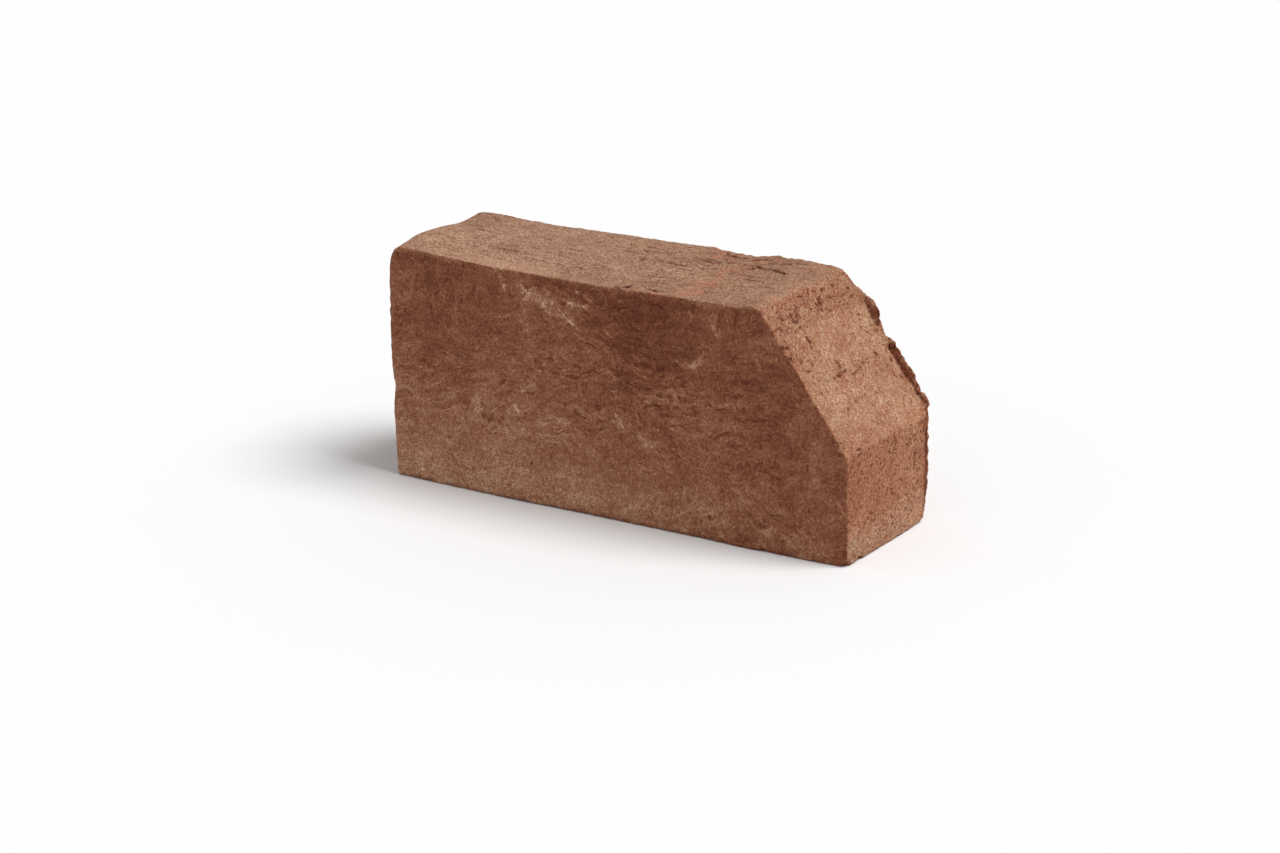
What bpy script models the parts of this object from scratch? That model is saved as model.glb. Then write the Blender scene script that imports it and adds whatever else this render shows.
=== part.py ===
"""Hand-moulded clay brick with one corner cut away, standing on a long narrow face.

Metres, Z up. X runs along the length with the cut corner at +X, Y through the
thickness from bed face to bed face, Z up. The origin is the middle of the face
that the brick stands on.
"""

import math

import bmesh
import bpy
from mathutils import Matrix, Vector

MM = 0.001

# Overall size
LENGTH = 203 * MM
THICKNESS = 58 * MM
HEIGHT = 92 * MM

# The cut corner: how far it runs back along the top, and down the end
CANT_RUN = 36.3 * MM
CANT_DROP = 50.8 * MM

# Spacing of the points that carry the waviness
LONG_STEPS = 22
CANT_STEPS = 8
END_STEPS = 6
DEPTH_STEPS = 8

# Rounding of the arrises
ARRIS = 3.6 * MM
SHARP_ARRIS = 0.28
PLAIN_ARRIS = 0.5
SOFT_ARRIS = 1.0
ARRIS_SEGMENTS = 3

# The ragged fin of squeezed clay along the back of the cut
FIN_THICKNESS = 2.3 * MM
FIN_ROOT = 1.6 * MM
FIN_INSET = 0.2 * MM
FIN_STEP = 2.0 * MM

FRONT = -THICKNESS / 2
BACK = THICKNESS / 2
PLAIN_END = -LENGTH / 2
CUT_END = LENGTH / 2
CANT_TOP = Vector((CUT_END - CANT_RUN, 0, HEIGHT))
CANT_FOOT = Vector((CUT_END, 0, HEIGHT - CANT_DROP))
CANT_ALONG = (CANT_FOOT - CANT_TOP).normalized()
CANT_NORMAL = Vector((-CANT_ALONG.z, 0, CANT_ALONG.x))
CANT_WIDTH = (CANT_FOOT - CANT_TOP).length


def clear_scene():
    for obj in list(bpy.data.objects):
        bpy.data.objects.remove(obj, do_unlink=True)


def collection(name):
    made = bpy.data.collections.new(name)
    bpy.context.scene.collection.children.link(made)
    return made


def hump(value, centre, width, power=2):
    """1 at the centre, falling smoothly to 0 a width or two away."""
    return math.exp(-(abs((value - centre) / width) ** power))


def ease(value, low, high):
    """0 below low, 1 above high, smooth between."""
    t = min(1.0, max(0.0, (value - low) / (high - low)))
    return t * t * (3 - 2 * t)


def top_wave(along, deep):
    """Height of the struck top face over its nominal plane, in millimetres.
    along runs from the plain end, deep from the front bed face."""
    front = 0.7 * hump(along, 6, 13) - 1.75 * hump(along, 98, 66, 4)
    front += 0.25 * math.sin(along / 9.0) * hump(along, 110, 60)
    back = 1.1 * hump(along, 8, 9) + 0.85 * hump(along, 150, 13)
    back += 0.3 * hump(along, 108, 12) - 0.55 * hump(along, 126, 6)
    blend = ease(deep, 2, 50)
    middle = -0.35 * math.sin(math.pi * deep / 58) * (0.6 + 0.4 * math.sin(along / 23))
    left_dip = -0.9 * hump(along, 0, 12) * hump(deep, 46, 7)
    return front * (1 - blend) + back * blend + middle + left_dip


def cant_wave(down, deep):
    """Height of the cut face over its nominal plane, in millimetres."""
    shoulder = 1.0 * hump(down, 7, 8) * ease(deep, 30, 56)
    ledge = -0.35 * hump(down, 4, 6) * ease(58 - deep, 20, 50)
    ripple = 0.22 * math.sin(down / 3.6 + deep / 19) * hump(down, 27, 14)
    return shoulder + ledge + ripple


def end_wave(deep, up):
    """Bulge of the plain end, in millimetres."""
    return (
        0.9 * math.sin(math.pi * min(1, up / 86))
        + 0.35 * math.sin(up / 8.5 + deep / 17)
        - 0.5 * hump(up, 37, 4) * hump(deep, 0, 14)
    )


def cut_levels():
    """Planes that carve the block into a net. On the cut face the upright and
    the level planes meet in the same lines."""
    run = LENGTH - CANT_RUN
    planes = [
        (Vector((PLAIN_END + run * i / LONG_STEPS, 0, 0)), Vector((1, 0, 0)))
        for i in range(1, LONG_STEPS + 1)
    ]
    for i in range(1, CANT_STEPS):
        spot = CANT_TOP.lerp(CANT_FOOT, i / CANT_STEPS)
        planes += [(spot, Vector((1, 0, 0))), (spot, Vector((0, 0, 1)))]
    foot = HEIGHT - CANT_DROP
    planes += [
        (Vector((0, 0, foot * i / END_STEPS)), Vector((0, 0, 1)))
        for i in range(1, END_STEPS + 1)
    ]
    planes += [
        (Vector((0, FRONT + THICKNESS * i / DEPTH_STEPS, 0)), Vector((0, 1, 0)))
        for i in range(1, DEPTH_STEPS)
    ]
    return planes


def cut_corner(bm):
    """Slices the top corner off and closes the slice."""
    cut = bmesh.ops.bisect_plane(
        bm,
        geom=bm.verts[:] + bm.edges[:] + bm.faces[:],
        plane_co=CANT_TOP,
        plane_no=CANT_NORMAL,
        clear_outer=True,
        dist=1e-7,
    )
    rim = [e for e in cut["geom_cut"] if isinstance(e, bmesh.types.BMEdge)]
    bmesh.ops.contextual_create(bm, geom=rim)


def off_cant(point):
    """Distance of a point inside the plane of the cut face."""
    return (CANT_TOP - point).dot(CANT_NORMAL)


def mark_arrises(bm):
    """Gives each corner edge its share of the rounding."""
    weight = bm.edges.layers.float.new("bevel_weight_edge")
    for edge in bm.edges:
        if edge.calc_face_angle(0) < math.radians(20):
            continue
        middle = (edge.verts[0].co + edge.verts[1].co) / 2
        along = (edge.verts[1].co - edge.verts[0].co).normalized()
        across_cant = abs(off_cant(middle)) < 1e-5 and abs(along.y) > 0.9
        if across_cant:
            edge[weight] = SOFT_ARRIS
        elif abs(along.y) > 0.9:
            edge[weight] = PLAIN_ARRIS
        elif middle.x < PLAIN_END + 1e-4:
            edge[weight] = PLAIN_ARRIS
        else:
            edge[weight] = SHARP_ARRIS


def wave(bm):
    """Moves the net by hand-made waviness. The face it stands on, both bed
    faces and the cut end stay flat."""
    for vert in bm.verts:
        p = vert.co
        along = (p.x - PLAIN_END) / MM
        deep = (p.y - FRONT) / MM
        up = p.z / MM
        down = (p - CANT_TOP).dot(CANT_ALONG) / MM
        inside = off_cant(p) / MM
        lift = ease(up, 52, 92) * ease(inside, -0.5, 9)
        cut = ease(9 - inside, 0, 8.5) * ease(down, -6, 2) * ease(60 - down, 0, 8)
        out = ease(24 - along, 0, 24) * ease(up, 0, 9)
        nip = 1.7 * hump(along, 0, 5) * hump(up, 92, 6) * ease(20 - deep, 0, 20)
        move = Vector((0, 0, lift * top_wave(along, deep)))
        move += CANT_NORMAL * (cut * cant_wave(down, deep))
        move.x -= out * end_wave(deep, up)
        move += Vector((0.55, 0, -0.45)) * nip
        vert.co = p + move * MM


def block():
    """The moulded block, as a mesh object with its arrises rounded."""
    bm = bmesh.new()
    bmesh.ops.create_cube(bm, size=1)
    bmesh.ops.scale(bm, vec=(LENGTH, THICKNESS, HEIGHT), verts=bm.verts)
    bmesh.ops.translate(bm, vec=(0, 0, HEIGHT / 2), verts=bm.verts)
    cut_corner(bm)
    for spot, normal in cut_levels():
        bmesh.ops.bisect_plane(
            bm,
            geom=bm.verts[:] + bm.edges[:] + bm.faces[:],
            plane_co=spot,
            plane_no=normal,
            dist=1e-7,
        )
    bmesh.ops.remove_doubles(bm, verts=bm.verts, dist=1e-6)
    mark_arrises(bm)
    wave(bm)
    bmesh.ops.recalc_face_normals(bm, faces=bm.faces)
    mesh = bpy.data.meshes.new("brick")
    bm.to_mesh(mesh)
    bm.free()
    obj = bpy.data.objects.new("brick", mesh)
    bevel = obj.modifiers.new("arrises", "BEVEL")
    bevel.limit_method = "WEIGHT"
    bevel.width = ARRIS
    bevel.segments = ARRIS_SEGMENTS
    bevel.use_clamp_overlap = True
    return obj


def fin_height(down):
    """How far the fin stands off the cut face, in millimetres."""
    lobes = (
        (18.5, 5.8, 4.2),
        (26.5, 4.0, 1.2),
        (33.5, 4.0, 2.3),
        (39.5, 4.5, 1.7),
        (47.0, 5.2, 2.9),
        (56.8, 4.0, 2.6),
        (61.5, 3.0, 1.0),
    )
    return 0.35 + sum(high * hump(down, centre, wide) for centre, wide, high in lobes)


def fin():
    """A ridge standing on the back edge of the cut face, thinner at its rim."""
    start, stop = 7 * MM, CANT_WIDTH + 0.5 * MM
    steps = round((stop - start) / FIN_STEP)
    bm = bmesh.new()
    bmesh.ops.create_cube(bm, size=1)
    bmesh.ops.translate(bm, vec=(0.5, -0.5, 0.5), verts=bm.verts)
    cuts = [(Vector((i / steps, 0, 0)), Vector((1, 0, 0))) for i in range(1, steps)]
    cuts += [(Vector((0, 0, t)), Vector((0, 0, 1))) for t in (0.3, 0.65)]
    for spot, normal in cuts:
        bmesh.ops.bisect_plane(
            bm,
            geom=bm.verts[:] + bm.edges[:] + bm.faces[:],
            plane_co=spot,
            plane_no=normal,
            dist=1e-6,
        )
    for vert in bm.verts:
        t, side, rise = vert.co
        down = start + (stop - start) * t
        high = fin_height(down / MM) * MM
        thin = 1 - 0.55 * rise**2
        lean = 0.5 * MM * math.sin(down / MM / 4.1) * rise
        deep = BACK - FIN_INSET + side * FIN_THICKNESS * thin - lean
        deep -= (1 - thin) * FIN_THICKNESS * 0.25
        height = -FIN_ROOT + (FIN_ROOT + high) * rise
        spot = CANT_TOP + CANT_ALONG * down + CANT_NORMAL * height
        vert.co = Vector((spot.x, deep, spot.z))
    bmesh.ops.recalc_face_normals(bm, faces=bm.faces)
    mesh = bpy.data.meshes.new("fin")
    bm.to_mesh(mesh)
    bm.free()
    return bpy.data.objects.new("fin", mesh)


def chip(name, centre, size, turn):
    """A lump whose shape is bitten out of an arris."""
    bm = bmesh.new()
    bmesh.ops.create_icosphere(bm, subdivisions=2, radius=1)
    for vert in bm.verts:
        x, y, z = vert.co
        vert.co *= 1 + 0.16 * math.sin(3.1 * x + 1.3) * math.cos(2.7 * y - 0.4 + z)
    bmesh.ops.scale(bm, vec=Vector(size) * MM, verts=bm.verts)
    bmesh.ops.rotate(
        bm,
        cent=(0, 0, 0),
        matrix=Matrix.Rotation(math.radians(turn[1]), 3, turn[0]),
        verts=bm.verts,
    )
    mesh = bpy.data.meshes.new(name)
    bm.to_mesh(mesh)
    bm.free()
    obj = bpy.data.objects.new(name, mesh)
    along, deep, up = centre
    obj.location = (PLAIN_END + along * MM, FRONT + deep * MM, up * MM)
    return obj


def helper(obj, where):
    where.objects.link(obj)
    obj.hide_render = True
    obj.display_type = "WIRE"
    return obj


def boolean(obj, other, operation, name):
    mod = obj.modifiers.new(name, "BOOLEAN")
    mod.operation = operation
    mod.object = other
    mod.solver = "EXACT"


def fired_clay():
    mat = bpy.data.materials.new("fired_clay")
    mat.use_nodes = True
    shader = mat.node_tree.nodes["Principled BSDF"]
    shader.inputs["Base Color"].default_value = (0.27, 0.105, 0.06, 1)
    shader.inputs["Roughness"].default_value = 0.92
    shader.inputs["Metallic"].default_value = 0.0
    mat.diffuse_color = (0.27, 0.105, 0.06, 1)
    return mat


def main():
    clear_scene()
    parts = collection("cant_brick")
    helpers = collection("helpers")
    brick = block()
    parts.objects.link(brick)
    boolean(brick, helper(fin(), helpers), "UNION", "fin")
    chips = (
        ("chip_foot", (203.2, 8.6, -0.4), (2.6, 3.0, 2.2), ("Z", 20)),
        ("chip_end", (-1.6, -0.6, 38.5), (2.0, 2.4, 4.6), ("Y", 8)),
        ("chip_base", (161.5, -0.7, -0.5), (3.6, 2.0, 1.5), ("Z", 6)),
        ("chip_top", (109.0, -0.7, 91.2), (4.8, 1.9, 1.7), ("Y", -4)),
    )
    for name, centre, size, turn in chips:
        cutter = helper(chip(name, centre, size, turn), helpers)
        boolean(brick, cutter, "DIFFERENCE", name)
    brick.data.materials.append(fired_clay())
    brick.data.shade_smooth()
    brick.data.set_sharp_from_angle(angle=math.radians(40))


main()
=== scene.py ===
import math

import bpy
import numpy as np
from mathutils import Matrix, Vector
from mathutils.geometry import delaunay_2d_cdt


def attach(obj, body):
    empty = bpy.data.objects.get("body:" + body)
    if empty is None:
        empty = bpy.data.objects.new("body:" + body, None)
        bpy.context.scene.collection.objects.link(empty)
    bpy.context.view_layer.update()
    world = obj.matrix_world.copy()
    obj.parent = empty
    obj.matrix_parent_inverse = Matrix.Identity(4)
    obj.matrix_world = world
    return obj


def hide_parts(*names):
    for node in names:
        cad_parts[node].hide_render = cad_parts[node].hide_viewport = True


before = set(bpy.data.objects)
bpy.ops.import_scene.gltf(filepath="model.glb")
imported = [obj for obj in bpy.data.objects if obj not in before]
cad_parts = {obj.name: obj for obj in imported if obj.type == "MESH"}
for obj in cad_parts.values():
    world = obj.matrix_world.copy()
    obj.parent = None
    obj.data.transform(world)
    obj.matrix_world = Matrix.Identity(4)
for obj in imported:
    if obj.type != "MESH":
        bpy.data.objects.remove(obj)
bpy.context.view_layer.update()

# Sizes here are in millimetres, the same as the construction. s runs along the
# length from the plain end, t through the thickness from the front bed face,
# and z up. The cut (cant) also has u, the distance down its slope.
LENGTH, THICK, HIGH = 203.0, 58.0, 92.0
CANT_TOP = np.array([166.7, 92.0])
CANT_FOOT = np.array([203.0, 41.2])
CANT_LONG = float(np.hypot(*(CANT_FOOT - CANT_TOP)))
ALONG = (CANT_FOOT - CANT_TOP) / CANT_LONG
OUT = np.array([-ALONG[1], ALONG[0]])

FINE = 0.55  # mesh spacing on the top, the cut and the cut end
FACE_STEP = 0.93  # on the front bed face
BACK_STEP = 2.3  # on the back bed face
BASE_STEP = 3.2  # on the resting face
FRONT_ROWS, BACK_ROWS, BASE_ROWS = 4, 15, 3
BACK_ZONE = 4.2


# ------------------------------------------------------------------- noise
GRADS = np.random.default_rng(11).normal(size=(256, 3))
GRADS /= np.linalg.norm(GRADS, axis=1)[:, None]


def hump(v, centre, width, power=2):
    return np.exp(-(np.abs((v - centre) / width) ** power))


def ease(v, low, high):
    t = np.clip((v - low) / (high - low), 0.0, 1.0)
    return t * t * (3 - 2 * t)


def hashed(i, j, k, seed):
    h = (i * 73856093) ^ (j * 19349663) ^ (k * 83492791) ^ (seed * 26544357 + 977)
    h &= 0xFFFFFFFF
    h ^= h >> 15
    h = (h * 0x2C1B3C6D) & 0xFFFFFFFF
    h ^= h >> 12
    h = (h * 0x297A2D39) & 0xFFFFFFFF
    h ^= h >> 15
    return h


def noise(p, size, seed=0):
    """Smooth noise of about -1 to 1, with lumps of the given size."""
    q = np.asarray(p, float) / size
    base = np.floor(q).astype(np.int64)
    f = q - base
    w = f * f * f * (f * (f * 6 - 15) + 10)
    total = np.zeros(len(q))
    for a in (0, 1):
        for b in (0, 1):
            for c in (0, 1):
                h = hashed(base[:, 0] + a, base[:, 1] + b, base[:, 2] + c, seed)
                dot = ((f - (a, b, c)) * GRADS[h & 255]).sum(1)
                weight = (
                    (w[:, 0] if a else 1 - w[:, 0])
                    * (w[:, 1] if b else 1 - w[:, 1])
                    * (w[:, 2] if c else 1 - w[:, 2])
                )
                total += weight * dot
    return total * 1.75


def fractal(p, size, octaves=3, seed=0, gain=0.5):
    total, high, norm = 0.0, 1.0, 0.0
    for o in range(octaves):
        total = total + high * noise(p, size / 2**o, seed + 31 * o)
        norm += high
        high *= gain
    return total / norm


def ridged(p, size, octaves=2, seed=0):
    """1 on a web of thin lines, less between them."""
    total, high, norm = 0.0, 1.0, 0.0
    for o in range(octaves):
        total = total + high * (1 - 2.2 * np.abs(noise(p, size / 2**o, seed + 17 * o)))
        norm += high
        high *= 0.5
    return total / norm


def blob(x, y, at, radii, turn=0.0, power=2):
    a = math.radians(turn)
    dx, dy = x - at[0], y - at[1]
    u = (dx * math.cos(a) + dy * math.sin(a)) / radii[0]
    v = (-dx * math.sin(a) + dy * math.cos(a)) / radii[1]
    return np.exp(-((u * u + v * v) ** (power / 2)))


def stroke(x, y, path, width, power=2):
    """1 on the path, falling to 0 at about the given distance from it."""
    best = np.full(len(x), 1e9)
    for (x0, y0), (x1, y1) in zip(path, path[1:]):
        dx, dy = x1 - x0, y1 - y0
        share = np.clip(((x - x0) * dx + (y - y0) * dy) / (dx * dx + dy * dy), 0, 1)
        best = np.minimum(best, np.hypot(x - x0 - share * dx, y - y0 - share * dy))
    return np.exp(-((best / width) ** power))


# ----------------------------------------------------------------- outline
def outline():
    """Points, outward normals and part names round the side outline, in s and
    z, with the corners filleted."""
    corners = [
        ((0.0, 0.0), 1.5, "plain_foot"),
        ((LENGTH, 0.0), 1.5, "cut_foot"),
        (tuple(CANT_FOOT), 5.0, "cant_foot"),
        (tuple(CANT_TOP), 6.5, "cant_top"),
        ((0.0, HIGH), 3.2, "plain_top"),
    ]
    steps = {
        "bottom": 1.15,
        "end": FINE,
        "cant": FINE,
        "top": FINE,
        "plain": 1.6,
        "plain_foot": 0.5,
        "cut_foot": 0.4,
        "cant_foot": 0.45,
        "cant_top": 0.5,
        "plain_top": 0.5,
    }
    sides = ["bottom", "end", "cant", "top", "plain"]
    n = len(corners)
    arcs = []
    for i, (spot, radius, name) in enumerate(corners):
        p = np.array(spot)
        back = np.array(corners[i - 1][0]) - p
        on = np.array(corners[(i + 1) % n][0]) - p
        back /= np.linalg.norm(back)
        on /= np.linalg.norm(on)
        half = math.acos(float(np.clip(back @ on, -1, 1))) / 2
        cut = radius / math.tan(half)
        middle = p + (back + on) / np.linalg.norm(back + on) * radius / math.sin(half)
        arcs.append((p + back * cut, p + on * cut, middle, radius, name, half))
    points, normals, names = [], [], []
    for i in range(n):
        start, stop, middle, radius, name, half = arcs[i]
        a0 = math.atan2(*(start - middle)[::-1])
        sweep = math.pi - 2 * half
        count = max(4, round(sweep * radius / steps[name]))
        for k in range(count):
            a = a0 + sweep * k / count
            d = np.array([math.cos(a), math.sin(a)])
            points.append(middle + radius * d)
            normals.append(d)
            names.append(name)
        to = arcs[(i + 1) % n][0]
        side = sides[i]
        count = max(2, round(np.linalg.norm(to - stop) / steps[side]))
        run = (to - stop) / np.linalg.norm(to - stop)
        for k in range(count):
            points.append(stop + (to - stop) * k / count)
            normals.append(np.array([run[1], -run[0]]))
            names.append(side)
    return np.array(points), np.array(normals), names


def down_cant(s, z):
    return (s - CANT_TOP[0]) * ALONG[0] + (z - CANT_TOP[1]) * ALONG[1]


def off_cant(s, z):
    """Distance inside the plane of the cut."""
    return -((s - CANT_TOP[0]) * OUT[0] + (z - CANT_TOP[1]) * OUT[1])


def fin_height(down):
    """Height over the cut of the ragged clay left along its back edge."""
    at = (4, 8, 10.5, 12.4, 14.3, 16.4, 18.8, 20.3, 22.2, 23.5, 26, 28, 29.6, 31.6, 32.7, 35.5,
          38.8, 42.7, 45.9, 47, 49.6, 52.5, 54.5, 56.4, 58.7, 61.3, 63.5)
    high = (0.2, 0.5, 1.5, 2.7, 3.8, 4.9, 5.5, 5.1, 4.8, 3.7, 2.7, 2.3, 2.1, 2.9, 3.9, 4.0,
            3.7, 4.1, 4.4, 4.1, 4.0, 3.3, 3.0, 3.7, 3.3, 1.9, 0.6)
    return 0.9 * np.interp(down, at, high)


def broken(down):
    """1 where that clay has a broken, upright front, 0 where it swells up smoothly."""
    first = ease(down, 13.0, 15.5) * (1 - ease(down, 21.8, 23.4))
    second = ease(down, 32.2, 34.0)
    return np.maximum(first, second)


def sections(points, names):
    """For each outline point the row of points from the front bed face to the
    back one, as t and as height over the side."""
    flat_rows = round((THICK - BACK_ZONE - 1.2) / FINE)
    rows = FRONT_ROWS + flat_rows + BACK_ROWS
    t = np.zeros((len(points), rows))
    o = np.zeros((len(points), rows))
    s, z = points[:, 0], points[:, 1]
    down = down_cant(s, z)
    on_cant = off_cant(s, z) < 3
    at_end = (s > LENGTH - 4) & (z < CANT_FOOT[1] + 2)
    ragged = noise(np.stack([s, z, 0 * s], -1), 2.6, 5)
    ragged2 = noise(np.stack([s, z, 9 + 0 * s], -1), 1.1, 6)
    lean_wave = noise(np.stack([s, z, 40 + 0 * s], -1), 6.0, 7)
    edge = THICK - BACK_ZONE
    for i in range(len(points)):
        r = 0.7 if z[i] < 4 else 0.8 + 0.85 * float(hump(s[i], 163, 9))
        rb = 1.0
        high = 0.0
        if on_cant[i] and 3 < down[i] < CANT_LONG + 2:
            high = float(fin_height(down[i]))
            high += (0.26 * ragged[i] + 0.42 * ragged2[i]) * min(1.0, high)
        if at_end[i]:
            strip = ease(z[i], 4, 16) * (0.55 + 0.3 * ragged[i])
            high = max(high * 0.6, strip)
        high = max(0.0, float(high))
        angle = np.linspace(0, math.pi / 2, FRONT_ROWS, endpoint=False)
        t[i, :FRONT_ROWS] = r * (1 - np.cos(angle))
        o[i, :FRONT_ROWS] = -r * (1 - np.sin(angle))
        flat = np.arange(flat_rows) / flat_rows
        t[i, FRONT_ROWS : FRONT_ROWS + flat_rows] = r + (edge - r) * flat
        lean = 0.3 * lean_wave[i] * min(1.0, high / 2)
        steep = float(broken(down[i])) if on_cant[i] else 1.0
        swell = high * (0.10 + 0.20 * float(hump(down[i], 17, 5)) + 0.36 * float(ease(down[i], 46.5, 50) + 0.5 * hump(down[i], 33, 2))) if on_cant[i] else 0.15
        f = min(1.0, high / 0.9)
        gentle = np.array([
            (edge, 0), (edge + 0.7, 0.10 * high), (edge + 1.4, 0.26 * high), (edge + 2.1, 0.44 * high),
            (edge + 2.7, 0.60 * high), (THICK - 0.95, 0.74 * high), (THICK - 0.7, 0.86 * high),
            (THICK - 0.48, 0.94 * high), (THICK - 0.28, 0.98 * high), (THICK - 0.10, 1.0 * high),
            (THICK + 0.05, 0.96 * high), (THICK + 0.12, 0.72 * high), (THICK + 0.10, 0.40 * high),
            (THICK + 0.04, 0.05 * high - 0.3), (THICK, -rb),
        ])
        foot = THICK - 0.95 + 0.30 * ragged[i] + 0.15 * ragged2[i] if on_cant[i] else THICK - 1.7
        rise = high - swell
        upright = np.array([
            (edge, 0), (edge + 0.8, 0.12 * swell), (edge + 1.6, 0.35 * swell), (foot - 0.9, 0.6 * swell),
            (foot - 0.4, 0.8 * swell), (foot, swell), (foot + 0.08 - lean, swell + 0.2 * rise),
            (foot + 0.16 - lean, swell + 0.42 * rise), (foot + 0.26 - lean, swell + 0.64 * rise),
            (foot + 0.38 - lean, swell + 0.84 * rise), (foot + 0.62 - lean, high),
            (foot + 0.95 - lean, swell + 0.93 * rise), (THICK + 0.18, 0.62 * high),
            (THICK + 0.10, 0.05 * high - 0.3), (THICK, -rb),
        ])
        plain = np.array([
            (edge, 0), (edge + 0.5, 0), (edge + 1.0, 0), (edge + 1.45, 0), (edge + 1.85, 0), (edge + 2.2, 0),
            (edge + 2.5, 0), (edge + 2.8, 0), (edge + 3.05, 0), (THICK - rb * 0.86, -0.01 * rb),
            (THICK - rb * 0.62, -0.07 * rb), (THICK - rb * 0.38, -0.22 * rb), (THICK - rb * 0.18, -0.43 * rb),
            (THICK - rb * 0.05, -0.70 * rb), (THICK, -rb),
        ])
        line = plain * (1 - f) + (upright * steep + gentle * (1 - steep)) * f
        t[i, FRONT_ROWS + flat_rows :] = line[:, 0]
        o[i, FRONT_ROWS + flat_rows :] = line[:, 1]
    return t, o


def filled(ring, step, seed):
    """Inner points and triangles that fill the ring, on a net of the given
    step. The triangles count the ring's points first."""
    rng = np.random.default_rng(seed)
    lo, hi = ring.min(0), ring.max(0)
    spots = []
    for k, y in enumerate(np.arange(lo[1] + step * 0.6, hi[1], step * 0.866)):
        x = np.arange(lo[0] + (0.5 if k % 2 else 1.0) * step, hi[0], step)
        spots.append(np.stack([x, np.full_like(x, y)], -1))
    spots = np.concatenate(spots)
    spots += rng.uniform(-0.16, 0.16, spots.shape) * step
    near = np.full(len(spots), 1e9)
    inside = np.zeros(len(spots), bool)
    for a, b in zip(ring, np.roll(ring, -1, 0)):
        ab = b - a
        u = np.clip(((spots - a) @ ab) / (ab @ ab), 0, 1)
        near = np.minimum(near, np.linalg.norm(spots - (a + u[:, None] * ab), axis=1))
        if a[1] != b[1]:
            crosses = (a[1] > spots[:, 1]) != (b[1] > spots[:, 1])
            x = a[0] + (spots[:, 1] - a[1]) / (b[1] - a[1]) * (b[0] - a[0])
            inside ^= crosses & (spots[:, 0] < x)
    inner = spots[inside & (near > 0.55 * step)]
    every = np.vstack([ring, inner])
    edges = [(i, (i + 1) % len(ring)) for i in range(len(ring))]
    made = delaunay_2d_cdt([Vector(p) for p in every], edges, [], 1, 1e-7)
    if len(made[0]) != len(every):
        raise ValueError("the net lost points")
    back = [o[0] for o in made[3]]
    return inner, np.array([[back[i] for i in f] for f in made[2]], int)


def turned(points, faces, towards):
    f = faces[0]
    m = np.cross(points[f[1]] - points[f[0]], points[f[2]] - points[f[0]])
    return faces if m @ np.array(towards) > 0 else faces[:, ::-1]


def build_net():
    """Points of the whole skin in mm before any relief, quads and triangles."""
    line, side, names = outline()
    t, o = sections(line, names)
    n, rows = t.shape
    grid = np.stack([
        line[:, None, 0] + o * side[:, None, 0], t, line[:, None, 1] + o * side[:, None, 1]
    ], -1)
    ids = np.arange(n * rows).reshape(n, rows)
    base = np.array([name == "bottom" for name in names])
    quads = []
    first, last = FRONT_ROWS + BASE_ROWS, rows - BACK_ROWS
    for i in range(n):
        j = (i + 1) % n
        keep = np.ones(rows - 1, bool)
        if base[i]:
            keep[first:last] = False
        k = np.arange(rows - 1)[keep]
        quads.append(np.stack([ids[i, k], ids[j, k], ids[j, k + 1], ids[i, k + 1]], -1))
    quads = np.concatenate(quads)
    points = [grid.reshape(-1, 3)]
    total = n * rows
    nets = []
    for row, step, deep, seed in ((0, FACE_STEP, 0.0, 1), (rows - 1, BACK_STEP, THICK, 2)):
        inner, faces = filled(grid[:, row][:, [0, 2]], step, seed)
        lookup = np.concatenate([ids[:, row], total + np.arange(len(inner))])
        points.append(np.stack([inner[:, 0], np.full(len(inner), deep), inner[:, 1]], -1))
        total += len(inner)
        nets.append((lookup[faces], (0, 1 if row else -1, 0)))
    # The resting face: the columns of the bottom, and the next one after them.
    where = np.flatnonzero(base)
    where = np.append(where, where[-1] + 1)
    ring = np.concatenate([
        ids[where, first], ids[where[-1], first + 1 : last], ids[where[::-1], last],
        ids[where[0], last - 1 : first : -1],
    ])
    flat = points[0][ring][:, [0, 1]]
    inner, faces = filled(flat, BASE_STEP, 3)
    lookup = np.concatenate([ring, total + np.arange(len(inner))])
    points.append(np.stack([inner[:, 0], inner[:, 1], np.zeros(len(inner))], -1))
    nets.append((lookup[faces], (0, 0, -1)))
    points = np.concatenate(points)
    tris = [turned(points, f, to) for f, to in nets]
    probe = quads[len(quads) // 2]
    m = np.cross(points[probe[2]] - points[probe[0]], points[probe[3]] - points[probe[1]])
    if m @ (points[probe].mean(0) - (90.0, 29.0, 40.0)) < 0:
        quads = quads[:, ::-1]
    used = np.zeros(len(points), bool)
    for f in [quads, *tris]:
        used[f.reshape(-1)] = True
    renumber = np.cumsum(used) - 1
    return points[used], renumber[quads], renumber[np.concatenate(tris)]


def facing(points, quads, tris):
    """Vertex normals, weighted by face area."""
    total = np.zeros_like(points)
    m = np.cross(points[quads[:, 2]] - points[quads[:, 0]], points[quads[:, 3]] - points[quads[:, 1]])
    for k in range(4):
        np.add.at(total, quads[:, k], m)
    m = np.cross(points[tris[:, 1]] - points[tris[:, 0]], points[tris[:, 2]] - points[tris[:, 0]])
    for k in range(3):
        np.add.at(total, tris[:, k], m)
    return total / np.maximum(np.linalg.norm(total, axis=1)[:, None], 1e-12)


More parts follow.
